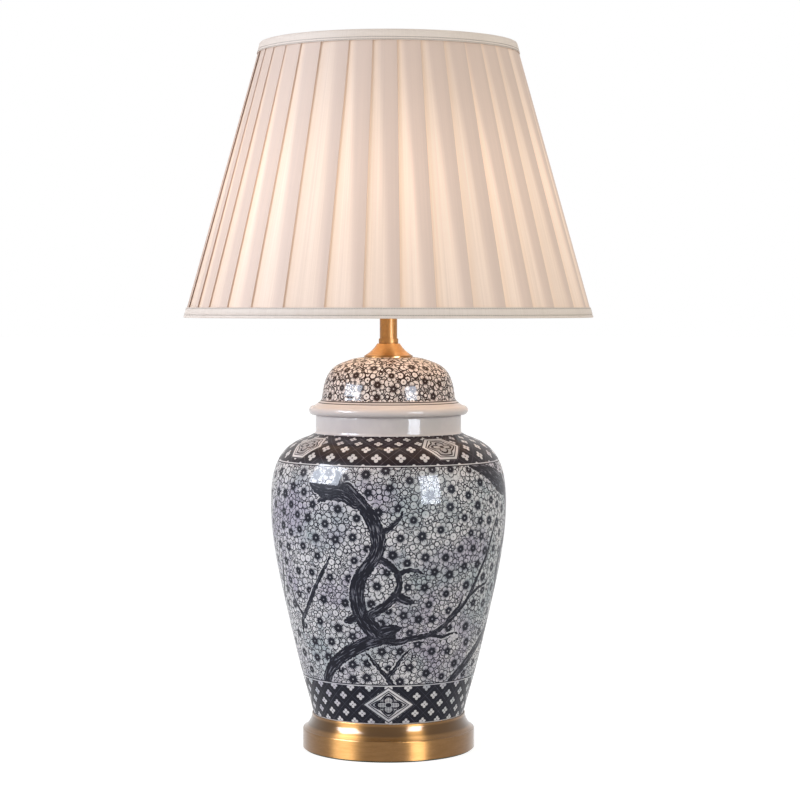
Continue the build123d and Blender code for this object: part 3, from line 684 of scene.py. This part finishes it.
def branch_fields(skin, points, azimuths, runs):
    """For each surface point, in mm: distance outside the nearest branch, distance across
    it and distance along it."""
    best = np.full((len(points), 3), FAR)
    for number, rows in enumerate(TRUNKS.values()):
        curve = smooth_line(rows)
        angle, height, half = np.radians(curve[:, 0]), curve[:, 1], curve[:, 2]
        line = skin.point(angle, height)
        line_run = skin.at_height(height, skin.run) / MM
        along = run_along(line)
        reach = 30.0
        near = np.flatnonzero(
            np.all((points > line.min(0) - reach) & (points < line.max(0) + reach), axis=1)
        )
        if not len(near):
            continue
        found = points[near]
        for i in range(len(line) - 1):
            leg = line[i + 1] - line[i]
            t = np.clip((found - line[i]) @ leg / (leg @ leg), 0, 1)
            gap = np.linalg.norm(found - line[i] - t[:, None] * leg, axis=1)
            outside = gap - (half[i] + t * (half[i + 1] - half[i]))
            better = outside < best[near, 0]
            chosen = near[better]
            radius = line[i, :2].dot(line[i, :2]) ** 0.5
            right = wrapped(azimuths[chosen] - angle[i]) * radius
            up = runs[chosen] - line_run[i]
            ahead_right = (angle[i + 1] - angle[i]) * radius
            ahead_up = line_run[i + 1] - line_run[i]
            side = np.sign(right * ahead_up - up * ahead_right)
            best[chosen, 0] = outside[better]
            best[chosen, 1] = side * gap[better] + 60 * number  # a grain of its own
            best[chosen, 2] = along[i] + t[better] * (along[i + 1] - along[i])
    return best


def scatter_blooms(skin, span, gap, seed, clear_of=None):
    """Blossom centres (azimuth, run, height) spread evenly over a height span."""
    rng = random.Random(seed)
    chosen, places = [], np.full((MOST_BLOOMS, 3), 1e6)
    runs = [skin.at_height(z, skin.run) / MM for z in span]
    widest = skin.outline[:, 0].max() / MM
    for _ in range(BLOOM_TRIES):
        run = rng.uniform(*runs)
        azimuth = rng.uniform(-math.pi, math.pi)
        radius = np.interp(run, skin.run / MM, skin.outline[:, 0]) / MM
        if rng.random() > radius / widest:
            continue
        height = float(np.interp(run, skin.run / MM, skin.outline[:, 1]) / MM)
        place = skin.point(azimuth, height)
        thin_out = 1.16 + 0.2 * math.sin(3 * azimuth + height / 31) * math.sin(height / 17)
        if np.min(np.linalg.norm(places[:len(chosen) + 1] - place, axis=1)) < gap * thin_out:
            continue
        if clear_of is not None and clear_of(place) < BLOOM_CLEAR:
            continue
        places[len(chosen)] = place
        chosen.append((azimuth, run, height))
    return np.array(chosen), places[:len(chosen)]


def bloom_fields(points, azimuths, runs, radii, blooms, places):
    """For each surface point, in mm: the offset right of and above the nearest blossom's
    centre, the distance to it, and the blossom's own chance number."""
    tree = tree_of(places)
    nearest = np.array([tree.find(p)[1] for p in points])
    right = wrapped(azimuths - blooms[nearest, 0]) * radii
    up = runs - blooms[nearest, 1]
    return np.stack([right, up, np.hypot(right, up)], -1), nearest * GOLDEN % 1


def froth(graph, flat, cell, wobble):
    """Painted bubbles of many sizes, packed like roe: ink 0..1 for lines and gaps.

    flat is a plane position with one unit per millimetre, and cell the usual bubble's
    size in mm. Large bubbles lie over small ones.
    """
    ink = 0.17
    broken = graph.noise(flat, 0.35, 2) * 0.6 + 0.72
    for size, line_half in ((cell * 0.55, 0.17), (cell * 0.78, 0.23), (cell, 0.28)):
        scale = 1 / size
        gap = graph.cells(flat, scale, "F1", "Distance", 0.9)
        room = graph.cells(flat, scale, "N_SPHERE_RADIUS", "Radius", 0.9)
        inside = (graph.least(room * 1.12, 0.52) - gap) * size + wobble
        rim = graph.line(inside, line_half * 0.8, line_half, 0.24) * broken
        pip = graph.step(gap * size, 0.6, 0.25) * graph.step(room, 0.3, 0.42) * 0.7
        body = graph.step(inside, -0.2, 0.0)
        ink = graph.over(ink, graph.most(rim, pip), body)
    return ink


def bloom_ink(graph, radius, wobble):
    """One blossom: scalloped petals with a dark line, and a fuzzy dark eye. Gives its ink
    0..1 and its cover 0..1."""
    right, up, far = graph.parts(graph.kept("bloom", "Vector"))
    kind = graph.kept("bloom_kind")
    true_far = graph.length(right, up)
    sound = graph.step(graph.size(true_far - far), 1.6, 1.2)
    size = (kind * 0.24 + 0.88) * radius
    share = true_far / size
    petals = 5.0 + graph.math("ROUND", graph.chance(kind * 7.3))
    slot = math.tau / petals
    angle = graph.math("ARCTAN2", up, right) + kind * 9.0
    folded = graph.math("PINGPONG", angle, slot * 0.5)
    px = share * graph.math("COSINE", folded)
    py = share * graph.math("SINE", folded)
    petal = graph.length(px - 0.65, py) + wobble * 0.07
    inside = (0.39 - petal) * size
    rim = graph.line(inside, 0.28, 0.3, 0.24)
    cover = graph.most(graph.step(inside, -0.4, -0.15), graph.step(share, 0.64, 0.6)) * sound
    rays = graph.math("PINGPONG", angle + wobble * 0.1, 0.17) / 0.17
    eye_edge = 0.53 + (rays - 0.5) * 0.22 + wobble * 0.14
    eye = graph.step(share - eye_edge, 0.1, -0.18) * (0.95 - graph.chance(kind * 3.7) * 0.25)
    speck = graph.step(share, 0.13, 0.06) * 0.6
    stamens = graph.step(rays, 0.55, 0.95) * graph.step(share, 0.72, 0.6) * 0.5
    ink = graph.most(graph.most(rim, eye), stamens) - speck
    return graph.most(ink, graph.step(share, 1.0, 0.5) * 0.12), cover


def bark_ink(graph):
    """Branches: dark, with pale grain along them, a ragged edge and a thin pale halo.
    Gives ink, cover."""
    outside, across, along = graph.parts(graph.kept("bark", "Vector"))
    grain = graph.noise(graph.vector(across * 0.75, along * 0.07, 0.0), 1.0, 3, 0.65)
    ridges = graph.step(grain, 0.5, 0.6)
    knots = graph.noise(graph.vector(across * 0.2, along * 0.09, 4.0), 1.0, 2)
    ragged = graph.noise(graph.vector(across * 0.3, along * 0.3, 9.0), 1.0, 3, 0.65)
    edge = outside + (ragged - 0.5) * 5.0
    body = graph.step(edge, 0.25, -0.15)
    tone = 1.0 - ridges * 0.66 * graph.step(edge, -0.4, -1.2) * graph.step(knots, 0.75, 0.5)
    halo = graph.step(edge, 1.6, 1.1) * graph.step(knots, 0.4, 0.55)
    return body * tone, graph.most(body, halo)


def quatrefoil(graph, right, up):
    """A four-petalled flower at the middle of each cell of a diagonal lattice of pitch 1,
    and the lattice's own lines: (flower, lattice), both 0..1."""
    p, q = right + up, right - up
    fp = p - graph.math("ROUND", p)
    fq = q - graph.math("ROUND", q)
    a, b = graph.size((fp + fq) * 0.5), graph.size((fp - fq) * 0.5)
    high, low = graph.most(a, b), graph.least(a, b)
    petal = graph.length((high - 0.118) * 0.9, low)
    flower = graph.step(petal, 0.098, 0.072)
    trellis = graph.most(
        graph.line(graph.size(fp), 0.5, 0.008, 0.03), graph.line(graph.size(fq), 0.5, 0.008, 0.03)
    )
    return flower, trellis


def cartouche(graph, right, up, half_wide, half_high, blunt):
    """A framed pale panel with a four-lobed scroll in it: (ink, cover), from mm offsets."""
    x, y = graph.size(right / half_wide), graph.size(up / half_high)
    lozenge = graph.most(x + y * (1 - blunt), graph.most(y, x))
    cover = graph.step(lozenge, 1.0, 0.985)
    frames = graph.most(
        graph.line(lozenge, 0.955, 0.018, 0.02), graph.line(lozenge, 0.76, 0.012, 0.025)
    )
    far = graph.length(x, y)
    angle = graph.math("ARCTAN2", y, x)
    lobes = graph.size(graph.math("COSINE", angle * 2.0))
    scroll = graph.line(far, lobes * 0.26 + 0.2, 0.03, 0.04)
    outer = graph.line(lozenge, lobes * 0.1 + 0.55, 0.022, 0.035)
    heart = graph.step(far, 0.13, 0.08)
    curls = graph.math("SINE", x * 52.0) * graph.math("SINE", y * 40.0)
    curls = graph.step(graph.size(curls), 0.35, 0.6) * graph.step(lozenge, 0.62, 0.56)
    ink = graph.most(graph.most(frames, outer), graph.most(scroll, graph.most(heart, curls * 0.75)))
    return ink, cover


def glaze(graph, ink, tint, warm, cream=(0.6, 0.545, 0.535)):
    """Colour and gloss of the glazed surface under a given ink 0..1: tint browns the ink,
    and warm takes the ground to cream."""
    azimuth, _, height = graph.round_axis()
    cloud = graph.grain(19, 3, 0.55)
    fine = graph.grain(130, 3, 0.6)
    hue = graph.noise(graph.vector(azimuth * 0.1, height, 3.0), 13, 2, 0.5)
    cool = graph.colour(graph.step(hue, 0.4, 0.6), (0.4, 0.45, 0.48), (0.44, 0.41, 0.5))
    ground = graph.colour(graph.step(cloud * 0.7 + fine * 0.3, 0.38, 0.6), cool, (0.68, 0.67, 0.69))
    ground = graph.colour(warm, ground, cream)
    deep = graph.colour(tint, (0.009, 0.0095, 0.018), (0.03, 0.016, 0.013))
    thin = graph.colour(tint, (0.07, 0.073, 0.105), (0.13, 0.08, 0.065))
    density = ink * (0.86 + graph.grain(300, 3, 0.6) * 0.28)
    wash = graph.step(density, 0.0, 0.5)
    dense = graph.step(density, 0.35, 0.85)
    graph.tones(dense, graph.colour(wash, ground, thin), deep)
    pool = graph.grain(55, 2)
    graph.set("Roughness", 0.3 + ink * 0.08 + (fine - 0.5) * 0.1)
    graph.relief(pool, 0.00018, 0.35)


def porcelain(name):
    return Finish(
        name, Coat_Weight=0.25, Coat_Roughness=0.035, Coat_IOR=1.5, Specular_IOR_Level=0.05
    )


def jar_paint(skin):
    """Bubbles, blossoms and branches between two lattice borders, with bare edges."""
    graph = porcelain("painted_jar")
    azimuth, radius, height = graph.round_axis()
    radius_mm, height_mm = radius / MM, height / MM
    turns, run, seam = graph.parts(graph.kept("layout", "Vector"))
    around = graph.math("WRAP", azimuth, seam + math.tau, seam)
    flat_r = 98.0  # radius at which the small circles have their nominal size
    flat = graph.vector(around * flat_r, turns * flat_r, 0.0)
    wobble = graph.grain(420, 2) - 0.5
    ink = froth(graph, flat, cell=7.2, wobble=wobble * 0.5)
    rubbed = graph.step(graph.grain(34, 1), 0.7, 0.72)
    ink = ink * (1 - rubbed * 0.8)
    bloom, bloom_cover = bloom_ink(graph, radius=8.6, wobble=wobble)
    ink = graph.over(ink, bloom, bloom_cover)
    bark, bark_cover = bark_ink(graph)
    ink = graph.over(ink, bark, bark_cover)

    def border(span, count, blunt, turn, wide, high, lift):
        middle_turns = sum(skin.at_height(z, skin.turns) for z in span) / 2
        low_run, high_run = (skin.at_height(z, skin.run) / MM for z in span)
        above = run - (low_run + high_run) / 2
        pitch = count / math.tau
        flower, trellis = quatrefoil(graph, azimuth * pitch, (turns - middle_turns) * pitch + lift)
        mottle = graph.grain(240, 3, 0.6)
        field = 1.0 - trellis * 0.35 - graph.step(mottle, 0.45, 0.75) * 0.25
        field = graph.over(field, 0.04, flower)
        half_way = math.pi / PANELS
        side = graph.math("WRAP", azimuth - math.radians(turn), half_way, -half_way)
        panel, panel_cover = cartouche(graph, side * radius_mm, above, wide, high, blunt)
        field = graph.over(field, panel, panel_cover)
        beyond = graph.size(above) - (high_run - low_run) / 2
        field = graph.most(field * graph.step(beyond, 0.15, -0.15), graph.line(beyond, 1.6, 0.4, 0.3))
        return field, graph.step(beyond, 2.3, 1.9)

    for row in BORDERS:
        field, inside = border(**row)
        ink = graph.over(ink, field, inside)
    bare = graph.most(
        graph.step(height_mm, HIGH_BORDER_Z[1] + 0.1, HIGH_BORDER_Z[1] + 0.5),
        graph.step(height_mm, LOW_BORDER_Z[0] - 0.1, LOW_BORDER_Z[0] - 0.5),
    )
    ink = ink * (1 - bare)
    # Painted warm light: toward the shoulder, under the lit shade, the ink is painted lighter and
    # browner and the ground creamier.
    shoulder_painted_light = graph.step(height_mm, 262, 300)
    ink = ink * (1.0 - shoulder_painted_light * 0.07)
    glaze(graph, ink, shoulder_painted_light * 0.4, graph.most(shoulder_painted_light * 0.4, bare * 0.8))
    return graph.material


def lid_paint(_):
    """Bubbles and blossoms over a plain flange; it needs nothing from the lid's skin."""
    graph = porcelain("painted_lid")
    azimuth, _, height = graph.round_axis()
    height_mm = height / MM
    turns = graph.parts(graph.kept("layout", "Vector"))[0]
    spread = graph.math("EXPONENT", turns * -1.0) * 62.0
    flat = graph.vector(
        spread * graph.math("SINE", azimuth), spread * graph.math("COSINE", azimuth), 0.0
    )
    wobble = graph.grain(420, 2) - 0.5
    ink = froth(graph, flat, cell=5.2, wobble=wobble * 0.4)
    bloom, bloom_cover = bloom_ink(graph, radius=7.4, wobble=wobble)
    ink = graph.over(ink, bloom, bloom_cover)
    margin = graph.step(height_mm, FLANGE_TOP_Z + 4.6, FLANGE_TOP_Z + 4.2)
    lines = graph.most(graph.line(height_mm, FLANGE_TOP_Z + 3.6, 0.35, 0.2),
                       graph.line(height_mm, FLANGE_TOP_Z + 1.4, 0.25, 0.2))
    ink = graph.over(ink, lines, margin)
    ink = ink * graph.step(height_mm, FLANGE_TOP_Z + 0.6, FLANGE_TOP_Z + 1.0)
    # Painted light and shade: the same glaze is painted lighter on the dome than on the flange, on
    # which the bulb's light falls stronger.
    cream = graph.colour(margin, (0.78, 0.7, 0.67), (0.59, 0.54, 0.53))
    glaze(graph, ink, 0.8, margin * 0.2 + 0.8, cream)
    return graph.material


def bare_porcelain():
    graph = porcelain("bare_porcelain")
    glaze(graph, 0.0, 0.0, 0.7)
    return graph.material


def split_outline(node, low_corner, high_corner):
    """The outer and the inner run of a node's section, each from low to high corner."""
    loop = outline_of(node)

    def index(corner):
        return min(range(len(loop)), key=lambda i: math.dist(loop[i], corner))

    a, b = index(low_corner), index(high_corner)
    one = loop[a:b + 1] if a <= b else loop[a:] + loop[:b + 1]
    other = loop[b:a + 1] if b <= a else loop[b:] + loop[:a + 1]
    return sorted((one, other[::-1]), key=lambda run: -np.mean([r for r, _ in run]))


def porcelain_piece(name, node, outer, inner, paint, bare, span, gap, seed, branches):
    """A turned porcelain piece: fine outside for its painting, coarser within."""
    outer, inner = spaced(outer, ROW_STEP), spaced(inner, 6 * ROW_STEP)
    loop = np.vstack([outer, inner[::-1][1:-1]])
    points, faces = turned(loop, COLUMNS, closed=True)
    skin = Skin(outer)
    piece = mesh_piece(name, points, faces, "lamp", paint(skin), bare)
    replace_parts(piece, node)
    plain = np.zeros(len(piece.data.polygons), np.int32)
    plain[(len(outer) - 1) * COLUMNS:] = 1
    piece.data.polygons.foreach_set("material_index", plain)
    count = len(outer) * COLUMNS
    azimuths = wrapped(np.tile(np.arange(COLUMNS) * math.tau / COLUMNS, len(outer)))
    runs = np.repeat(skin.run / MM, COLUMNS)
    radii = np.repeat(outer[:, 0] / MM, COLUMNS)
    outside_points = points[:count] / MM
    seam = np.zeros(count)
    clear_of = None
    bark = np.full((len(points), 3), FAR)
    if branches:
        bark[:count] = branch_fields(skin, outside_points, azimuths, runs)
        tree = tree_of(outside_points)

        def clear_of(place):
            return bark[tree.find(place)[1], 0]

        curve = smooth_line(TRUNKS[SEAM_BRANCH])
        seam = np.interp(outside_points[:, 2], curve[:, 1], np.radians(curve[:, 0]))
    blooms, places = scatter_blooms(skin, span, gap, seed, clear_of)
    offsets, kinds = bloom_fields(outside_points, azimuths, runs, radii, blooms, places)
    rest = len(points) - count
    layout = np.stack([np.repeat(skin.turns, COLUMNS), runs, seam], -1)
    keep(piece, "layout", np.vstack([layout, np.zeros((rest, 3))]))
    keep(piece, "bark", bark)
    keep(piece, "bloom", np.vstack([offsets, np.full((rest, 3), 30.0)]))
    keep(piece, "bloom_kind", np.concatenate([kinds, np.zeros(rest)]))
    return piece


bare = bare_porcelain()
jar_low, jar_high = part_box("jar_body")
jar_loop = outline_of("jar_body")
foot_r = max(r for r, z in jar_loop if z < jar_low.z + 1e-5)
rim_r = max(r for r, z in jar_loop if z > jar_high.z - 1e-5)
jar_outer, jar_inner = split_outline("jar_body", (foot_r, jar_low.z), (rim_r, jar_high.z))
jar = porcelain_piece(
    "jar", "jar_body", jar_outer, jar_inner, jar_paint, bare,
    span=(78.5, 286.5), gap=BLOOM_GAP, seed=7, branches=True,
)

lid_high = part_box("jar_lid")[1]
lid_loop = outline_of("jar_lid")
flange_low_z = min(z for r, z in lid_loop if r > lid_high.x - 0.004)
flange_low_r = max(r for r, z in lid_loop if z < flange_low_z + 1e-5 and r > 0.07)
crown_r = min(r for r, z in lid_loop if z > lid_high.z - 1e-5)
lid_outer, lid_inner = split_outline(
    "jar_lid", (flange_low_r, flange_low_z), (crown_r, lid_high.z)
)
lid = porcelain_piece(
    "lid", "jar_lid", lid_outer, lid_inner, lid_paint, bare,
    span=(FLANGE_TOP_Z + 8, 389), gap=LID_BLOOM_GAP, seed=11, branches=False,
)


# ------------------------------------------------------------------ pleated shade
PLEATS = 36
# Fold azimuths that show from the front; the rest are spread evenly round the back.
FRONT_FOLDS = (-78.0, -66.8, -58.9, -49.5, -39.9, -29.2, -17.2, -6.8, 3.0, 12.6, 22.9,
               32.8, 42.4, 51.4, 62.6, 74.0)
CLOTH_WIDTH = 2.1  # the strip before it is pleated, m
LAYER_GAP = 0.36 * MM
PLEAT_RISE = 1.6 * MM
CLOTH_T = 0.25 * MM
SHADE_ROWS = 44
CLOTH_COLUMNS = 288
FOLD_PAST = 0.0012  # radians that a fold's rounded edge stands past it
BOW = 0.35 * MM  # how far a pleat's panel bows out
TRIM_OUT = 1.1 * MM  # from the pleats' crests out to the trim's face in the CAD model
LINING_IN = 6.7 * MM  # from the pleats' crests to the lining
LINING_SLACK = 0.5 * MM
STRUTS = 8
ARM_AZIMUTHS = (60, 180, 300)
SLIT_HALF, SLIT_HIGH = 1.3, 12 * MM  # half its width in degrees, and its height
SHADE_TAPER = 0.28088  # radius lost for each metre of height

cover_low, cover_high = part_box("shade_cover")
top_trim_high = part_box("shade_top_trim")[1]
bottom_trim_low, bottom_trim_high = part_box("shade_bottom_trim")
shade_high = top_trim_high.z - bottom_trim_low.z
shade_low_r = bottom_trim_high.x - TRIM_OUT
shade_high_r = shade_low_r - SHADE_TAPER * shade_high


def crest(height):
    """Radius of the pleats' crests at a height."""
    share = (height - bottom_trim_low.z) / shade_high
    return shade_low_r + share * (shade_high_r - shade_low_r)


def fold_angles():
    rng = random.Random(3)
    missing = PLEATS - len(FRONT_FOLDS)
    start, end = FRONT_FOLDS[-1], FRONT_FOLDS[0] + 360
    pitch = (end - start) / (missing + 1)
    rest = [start + pitch * (i + 1) + rng.uniform(-0.9, 0.9) for i in range(missing)]
    low = [math.radians(a) for a in (*FRONT_FOLDS, *rest)]
    return low, [a + math.radians(rng.uniform(-0.3, 0.9)) for a in low]


def pleated_cover(material):
    """One strip of cloth in knife pleats: each runs out to its fold, back beneath itself
    and on again under the fold as the next pleat."""
    low_folds, high_folds = fold_angles()
    rng = random.Random(5)
    swell = [rng.uniform(-0.15, 0.2) * MM for _ in range(PLEATS)]
    depth_of = [rng.uniform(-1.6, 1.6) * MM for _ in range(PLEATS)]
    panel_shares = (0.0, 0.06, 0.16, 0.28, 0.4, 0.52, 0.62, 0.7, 0.78, 0.86, 0.93, 0.975, 1.0)
    spots, layers, shares, kinds = [], [], [], []
    for row in range(SHADE_ROWS + 1):
        t = row / SHADE_ROWS
        height = cover_low.z + t * (cover_high.z - cover_low.z)
        radius = crest(height)
        folds = [a + (b - a) * t for a, b in zip(low_folds, high_folds)]
        folds.append(folds[0] + math.tau)
        for pleat, (start, end) in enumerate(zip(folds, folds[1:])):
            wide = radius * (end - start)
            tucked = (CLOTH_WIDTH / PLEATS - wide) / 2 + depth_of[pleat]
            single = max(1 - tucked / wide, 0.04)

            def depth_at(share):
                rise = min(1, max(0, (share - single + 0.36) / 0.34))
                rise = rise * rise * (3 - 2 * rise)
                slack = math.sin(math.pi * share) * swell[pleat] * math.sin(math.pi * t)
                climb = (PLEAT_RISE - BOW) * (0.4 * share + 0.6 * rise)
                return PLEAT_RISE - climb - BOW * share * share + slack

            def across(share, below, layer):
                angle = start + share * (end - start)
                return angle, depth_at(share) + below, layer

            section = []
            for share in panel_shares:
                layer = min(1, max(0, (share - single + 0.16) / 0.3))
                section.append(across(share, 0, layer))
            section.append((end + FOLD_PAST, 0.12 * MM, 1))
            # Beneath the fold and back out again: (share of the panel, gaps below its face).
            back = 1 - min(tucked / wide, 0.93)
            halfway = (1 + back) / 2
            under = ((1, 1), (halfway, 1), (back, 1), (back - 0.006, 1.5), (back, 2), (halfway, 2.2))
            section += [across(share, gaps * LAYER_GAP, 2) for share, gaps in under]
            for angle, depth, layer in section:
                spots.append((radius - depth, angle, height))
                layers.append(layer)
                shares.append((angle - start) / (end - start))
                kinds.append((pleat * 0.618034) % 1.0)
    points, rows = at_azimuth(*np.transpose(spots)), SHADE_ROWS + 1
    faces = grid_faces(rows, len(points) // rows)
    piece = mesh_piece("shade_pleats", points, faces, "shade", material)
    keep(piece, "layers", layers)
    keep(piece, "pleat_share", shares)
    keep(piece, "pleat_kind", kinds)
    thicken(piece, -1)
    return piece


def lit_through(graph):
    """How strongly the bulb lights the cloth from behind, 1 beside the bulb: the strength of the glow
    painted on it.
    """
    x, y, z = graph.parts(graph.place())
    near = 0.165
    return near * near / (x * x + y * y + (z - bulb_z) * (z - bulb_z))


def woven(name):
    """The start of a silk: its graph, azimuth and height, and its upright slubs and cross
    threads (fine, broad) and clouding, all about 0..1."""
    graph = Finish(name, Roughness=0.72, Sheen_Weight=0.12, Sheen_Roughness=0.4,
                   Specular_IOR_Level=0.25)
    azimuth, _, height = graph.round_axis()
    warp = graph.noise(graph.vector(azimuth * 180.0, height * 12.0, 0.0), 6.0, 3, 0.6)
    weft = graph.noise(graph.vector(azimuth * 9.0, height * 900.0, 2.0), 2.0, 3, 0.6)
    broad = graph.noise(graph.vector(azimuth * 95.0, height * 3.0, 5.0), 1.0, 3, 0.6)
    cloud = graph.grain(14, 3, 0.5)
    return graph, azimuth, height, warp * 0.6 + weft * 0.4, broad, cloud


def pleated_silk(name):
    """Pale silk with the bulb's light through it painted on as a glow, more through one layer
    than through three. Its colour is painted too: darker where three layers let less light
    through, painted shade in each crease, and warm painted light beside each fold."""
    graph, _, height, fine, broad, cloud = woven(name)
    kind, share = graph.kept("pleat_kind"), graph.kept("pleat_share")
    layer = graph.step(graph.kept("layers"), 0.02, 0.98)
    tucked = graph.step(graph.kept("layers"), 1.0, 1.5)
    mixed = fine * 0.3 + broad * 0.4 + cloud * 0.2 + kind * 0.1
    # Painted shade in the crease before each fold, and warm painted light leaking out just past each
    # fold.
    crease_shade = graph.step(share, 0.72, 0.99) * (0.6 + kind * 0.4)
    painted_leak_light = graph.step(share, 0.34, 0.03) * (0.45 + kind * 0.25)
    pale = graph.colour(graph.step(mixed, 0.32, 0.66), (0.62, 0.49, 0.415), (0.715, 0.585, 0.512))
    pale = graph.colour(painted_leak_light, pale, (0.68, 0.505, 0.385))
    # Painted shade where three layers let less of the bulb's light through.
    layered_shade = graph.colour(layer * 0.8, pale, (0.635, 0.497, 0.425))
    graph.tones(crease_shade * 0.85, layered_shade, (0.59, 0.465, 0.4))
    graph.relief(fine + broad * 0.6, 0.00014, 0.5)
    # Painted glow of the bulb's light through the cloth, weaker under more layers and toward the top.
    through = lit_through(graph) * (0.8 + broad * 0.4) * (0.86 + kind * 0.28)
    through = through * (1 - graph.step(height, 0.55, 0.69) * 0.45)
    graph.set("Emission Color", graph.colour(layer, (1.0, 0.71, 0.48), (1.0, 0.64, 0.44)))
    graph.set("Emission Strength", through * (0.41 - layer * 0.24 - tucked * 0.15))
    return graph.material


def shade_cloth(name, glow, tone, dark):
    """Fine plain cloth with slubs, with the bulb's light through it painted on as a glow; each pressed
    line gets painted shade, broken up by stitches.
    """
    graph, azimuth, _, fine, broad, cloud = woven(name)
    mixed = graph.step(fine * 0.5 + broad * 0.2 + cloud * 0.3, 0.34, 0.64)
    stitches = graph.step(graph.math("SINE", azimuth * 520.0), -0.6, 0.2)
    # Painted shade in each pressed line, darker at each stitch.
    crease_shade = graph.kept("crease_shade") * (0.7 + stitches * 0.3)
    cloth = graph.colour(mixed, dark, tone)
    graph.tones(crease_shade, cloth, [c * 0.35 for c in dark])
    graph.relief(fine, 0.00012, 0.5)
    # Painted glow of the bulb's light through the cloth.
    graph.set("Emission Color", (1.0, 0.7, 0.45))
    graph.set("Emission Strength", lit_through(graph) * glow * (0.85 + broad * 0.3))
    return graph.material


pleats = pleated_cover(pleated_silk("pleated_silk"))
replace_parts(pleats, "shade_cover")


def lining_cloth(material):
    """The smooth lining, drawn tight between the struts and slit where the arms pass."""
    low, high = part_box("shade_lining")
    columns, rows = CLOTH_COLUMNS, 26
    t = np.linspace(0, 1, rows + 1)[:, None]
    height = low.z + t * (high.z - low.z)
    angle = np.arange(columns) * math.tau / columns
    dip = np.cos(angle * STRUTS + math.pi) * 0.5 + 0.5
    slack = LINING_SLACK * (0.4 - dip * np.sin(math.pi * t))
    points = at_azimuth(crest(height) - LINING_IN + slack, angle, height).reshape(-1, 3)
    middle = 360 * (np.arange(columns) + 0.5) / columns
    at_arm = np.min([abs(middle - arm) for arm in ARM_AZIMUTHS], axis=0) < SLIT_HALF
    low_rows = (np.arange(rows) + 1) / rows * (high.z - low.z) < SLIT_HIGH
    slit = np.outer(low_rows, at_arm).ravel()
    faces = grid_faces(rows + 1, columns)[~slit]
    piece = mesh_piece("shade_lining_cloth", points, faces, "shade", material)
    thicken(piece, 0)
    return piece


lining_silk = shade_cloth("lining_silk", 0.12, (0.86, 0.8, 0.72), (0.78, 0.71, 0.62))
lining = lining_cloth(lining_silk)
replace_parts(lining, "shade_lining")
lining_slant = math.hypot(cover_high.z - cover_low.z, shade_low_r - shade_high_r)
lining_wide = math.tau * crest(cover_low.z)
lining_mean = math.pi * (crest(cover_low.z) + crest(cover_high.z))
lining_mean * lining_slant * 0.96


def trim_tape(name, node, material, edge_z, inward, high, lines):
    """Folded tape: a band over the pleats' ends, round the edge and up inside. Each of
    its lines is pressed into the band at a distance from the edge: (distance, depth)."""
    face, back = 0.75 * MM, -7.6 * MM  # measured out from the pleats' crests

    def at(depth, along):
        height = edge_z + inward * along
        return (crest(height) + depth, height)

    profile = [at(0.35 * MM, high), at(0.62 * MM, high - 0.1 * MM), at(face, high - 0.4 * MM)]
    creases = [0.0, 0.0, 0.0]
    # Each pressed line is marked 1, for the painted shade in its groove.
    for along, deep in lines:
        half = 0.55 * MM
        profile += [at(face, along + half), at(face - deep, along), at(face, along - half)]
        creases += [0.0, 1.0, 0.0]
    edge = [
        (face + 0.05 * MM, 1.1 * MM), (face - 0.25 * MM, 0.45 * MM), (face - 0.8 * MM, 0.12 * MM),
        (-1.6 * MM, 0.08 * MM), (-4.0 * MM, 0.08 * MM), (back + 0.9 * MM, 0.12 * MM),
        (back + 0.2 * MM, 0.5 * MM), (back, 1.2 * MM), (back, 5.0 * MM), (back, 8.0 * MM),
        (back + 0.35 * MM, 8.3 * MM),
    ]
    profile += [at(*spot) for spot in edge]
    creases += [0.0] * len(edge)
    if inward > 0:
        profile, creases = profile[::-1], creases[::-1]
    points, faces = turned(profile, CLOTH_COLUMNS)
    if inward > 0:
        faces = faces[:, ::-1]
    piece = mesh_piece(name, points, faces, "shade", material)
    keep(piece, "crease_shade", np.repeat(creases, CLOTH_COLUMNS))
    thicken(piece, 0)
    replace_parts(piece, node)
    length = math.tau * crest(edge_z)


tape = shade_cloth("trim_tape", 0.05, (0.77, 0.68, 0.62), (0.67, 0.58, 0.515))
trim_tape("bottom_trim", "shade_bottom_trim", tape, bottom_trim_low.z, inward=1,
          high=10 * MM, lines=((9.0 * MM, 0.25 * MM), (2.8 * MM, 0.8 * MM)))
trim_tape("top_trim", "shade_top_trim", tape, top_trim_high.z, inward=-1,
          high=10.5 * MM, lines=((9.7 * MM, 0.5 * MM), (7.6 * MM, 0.5 * MM)))
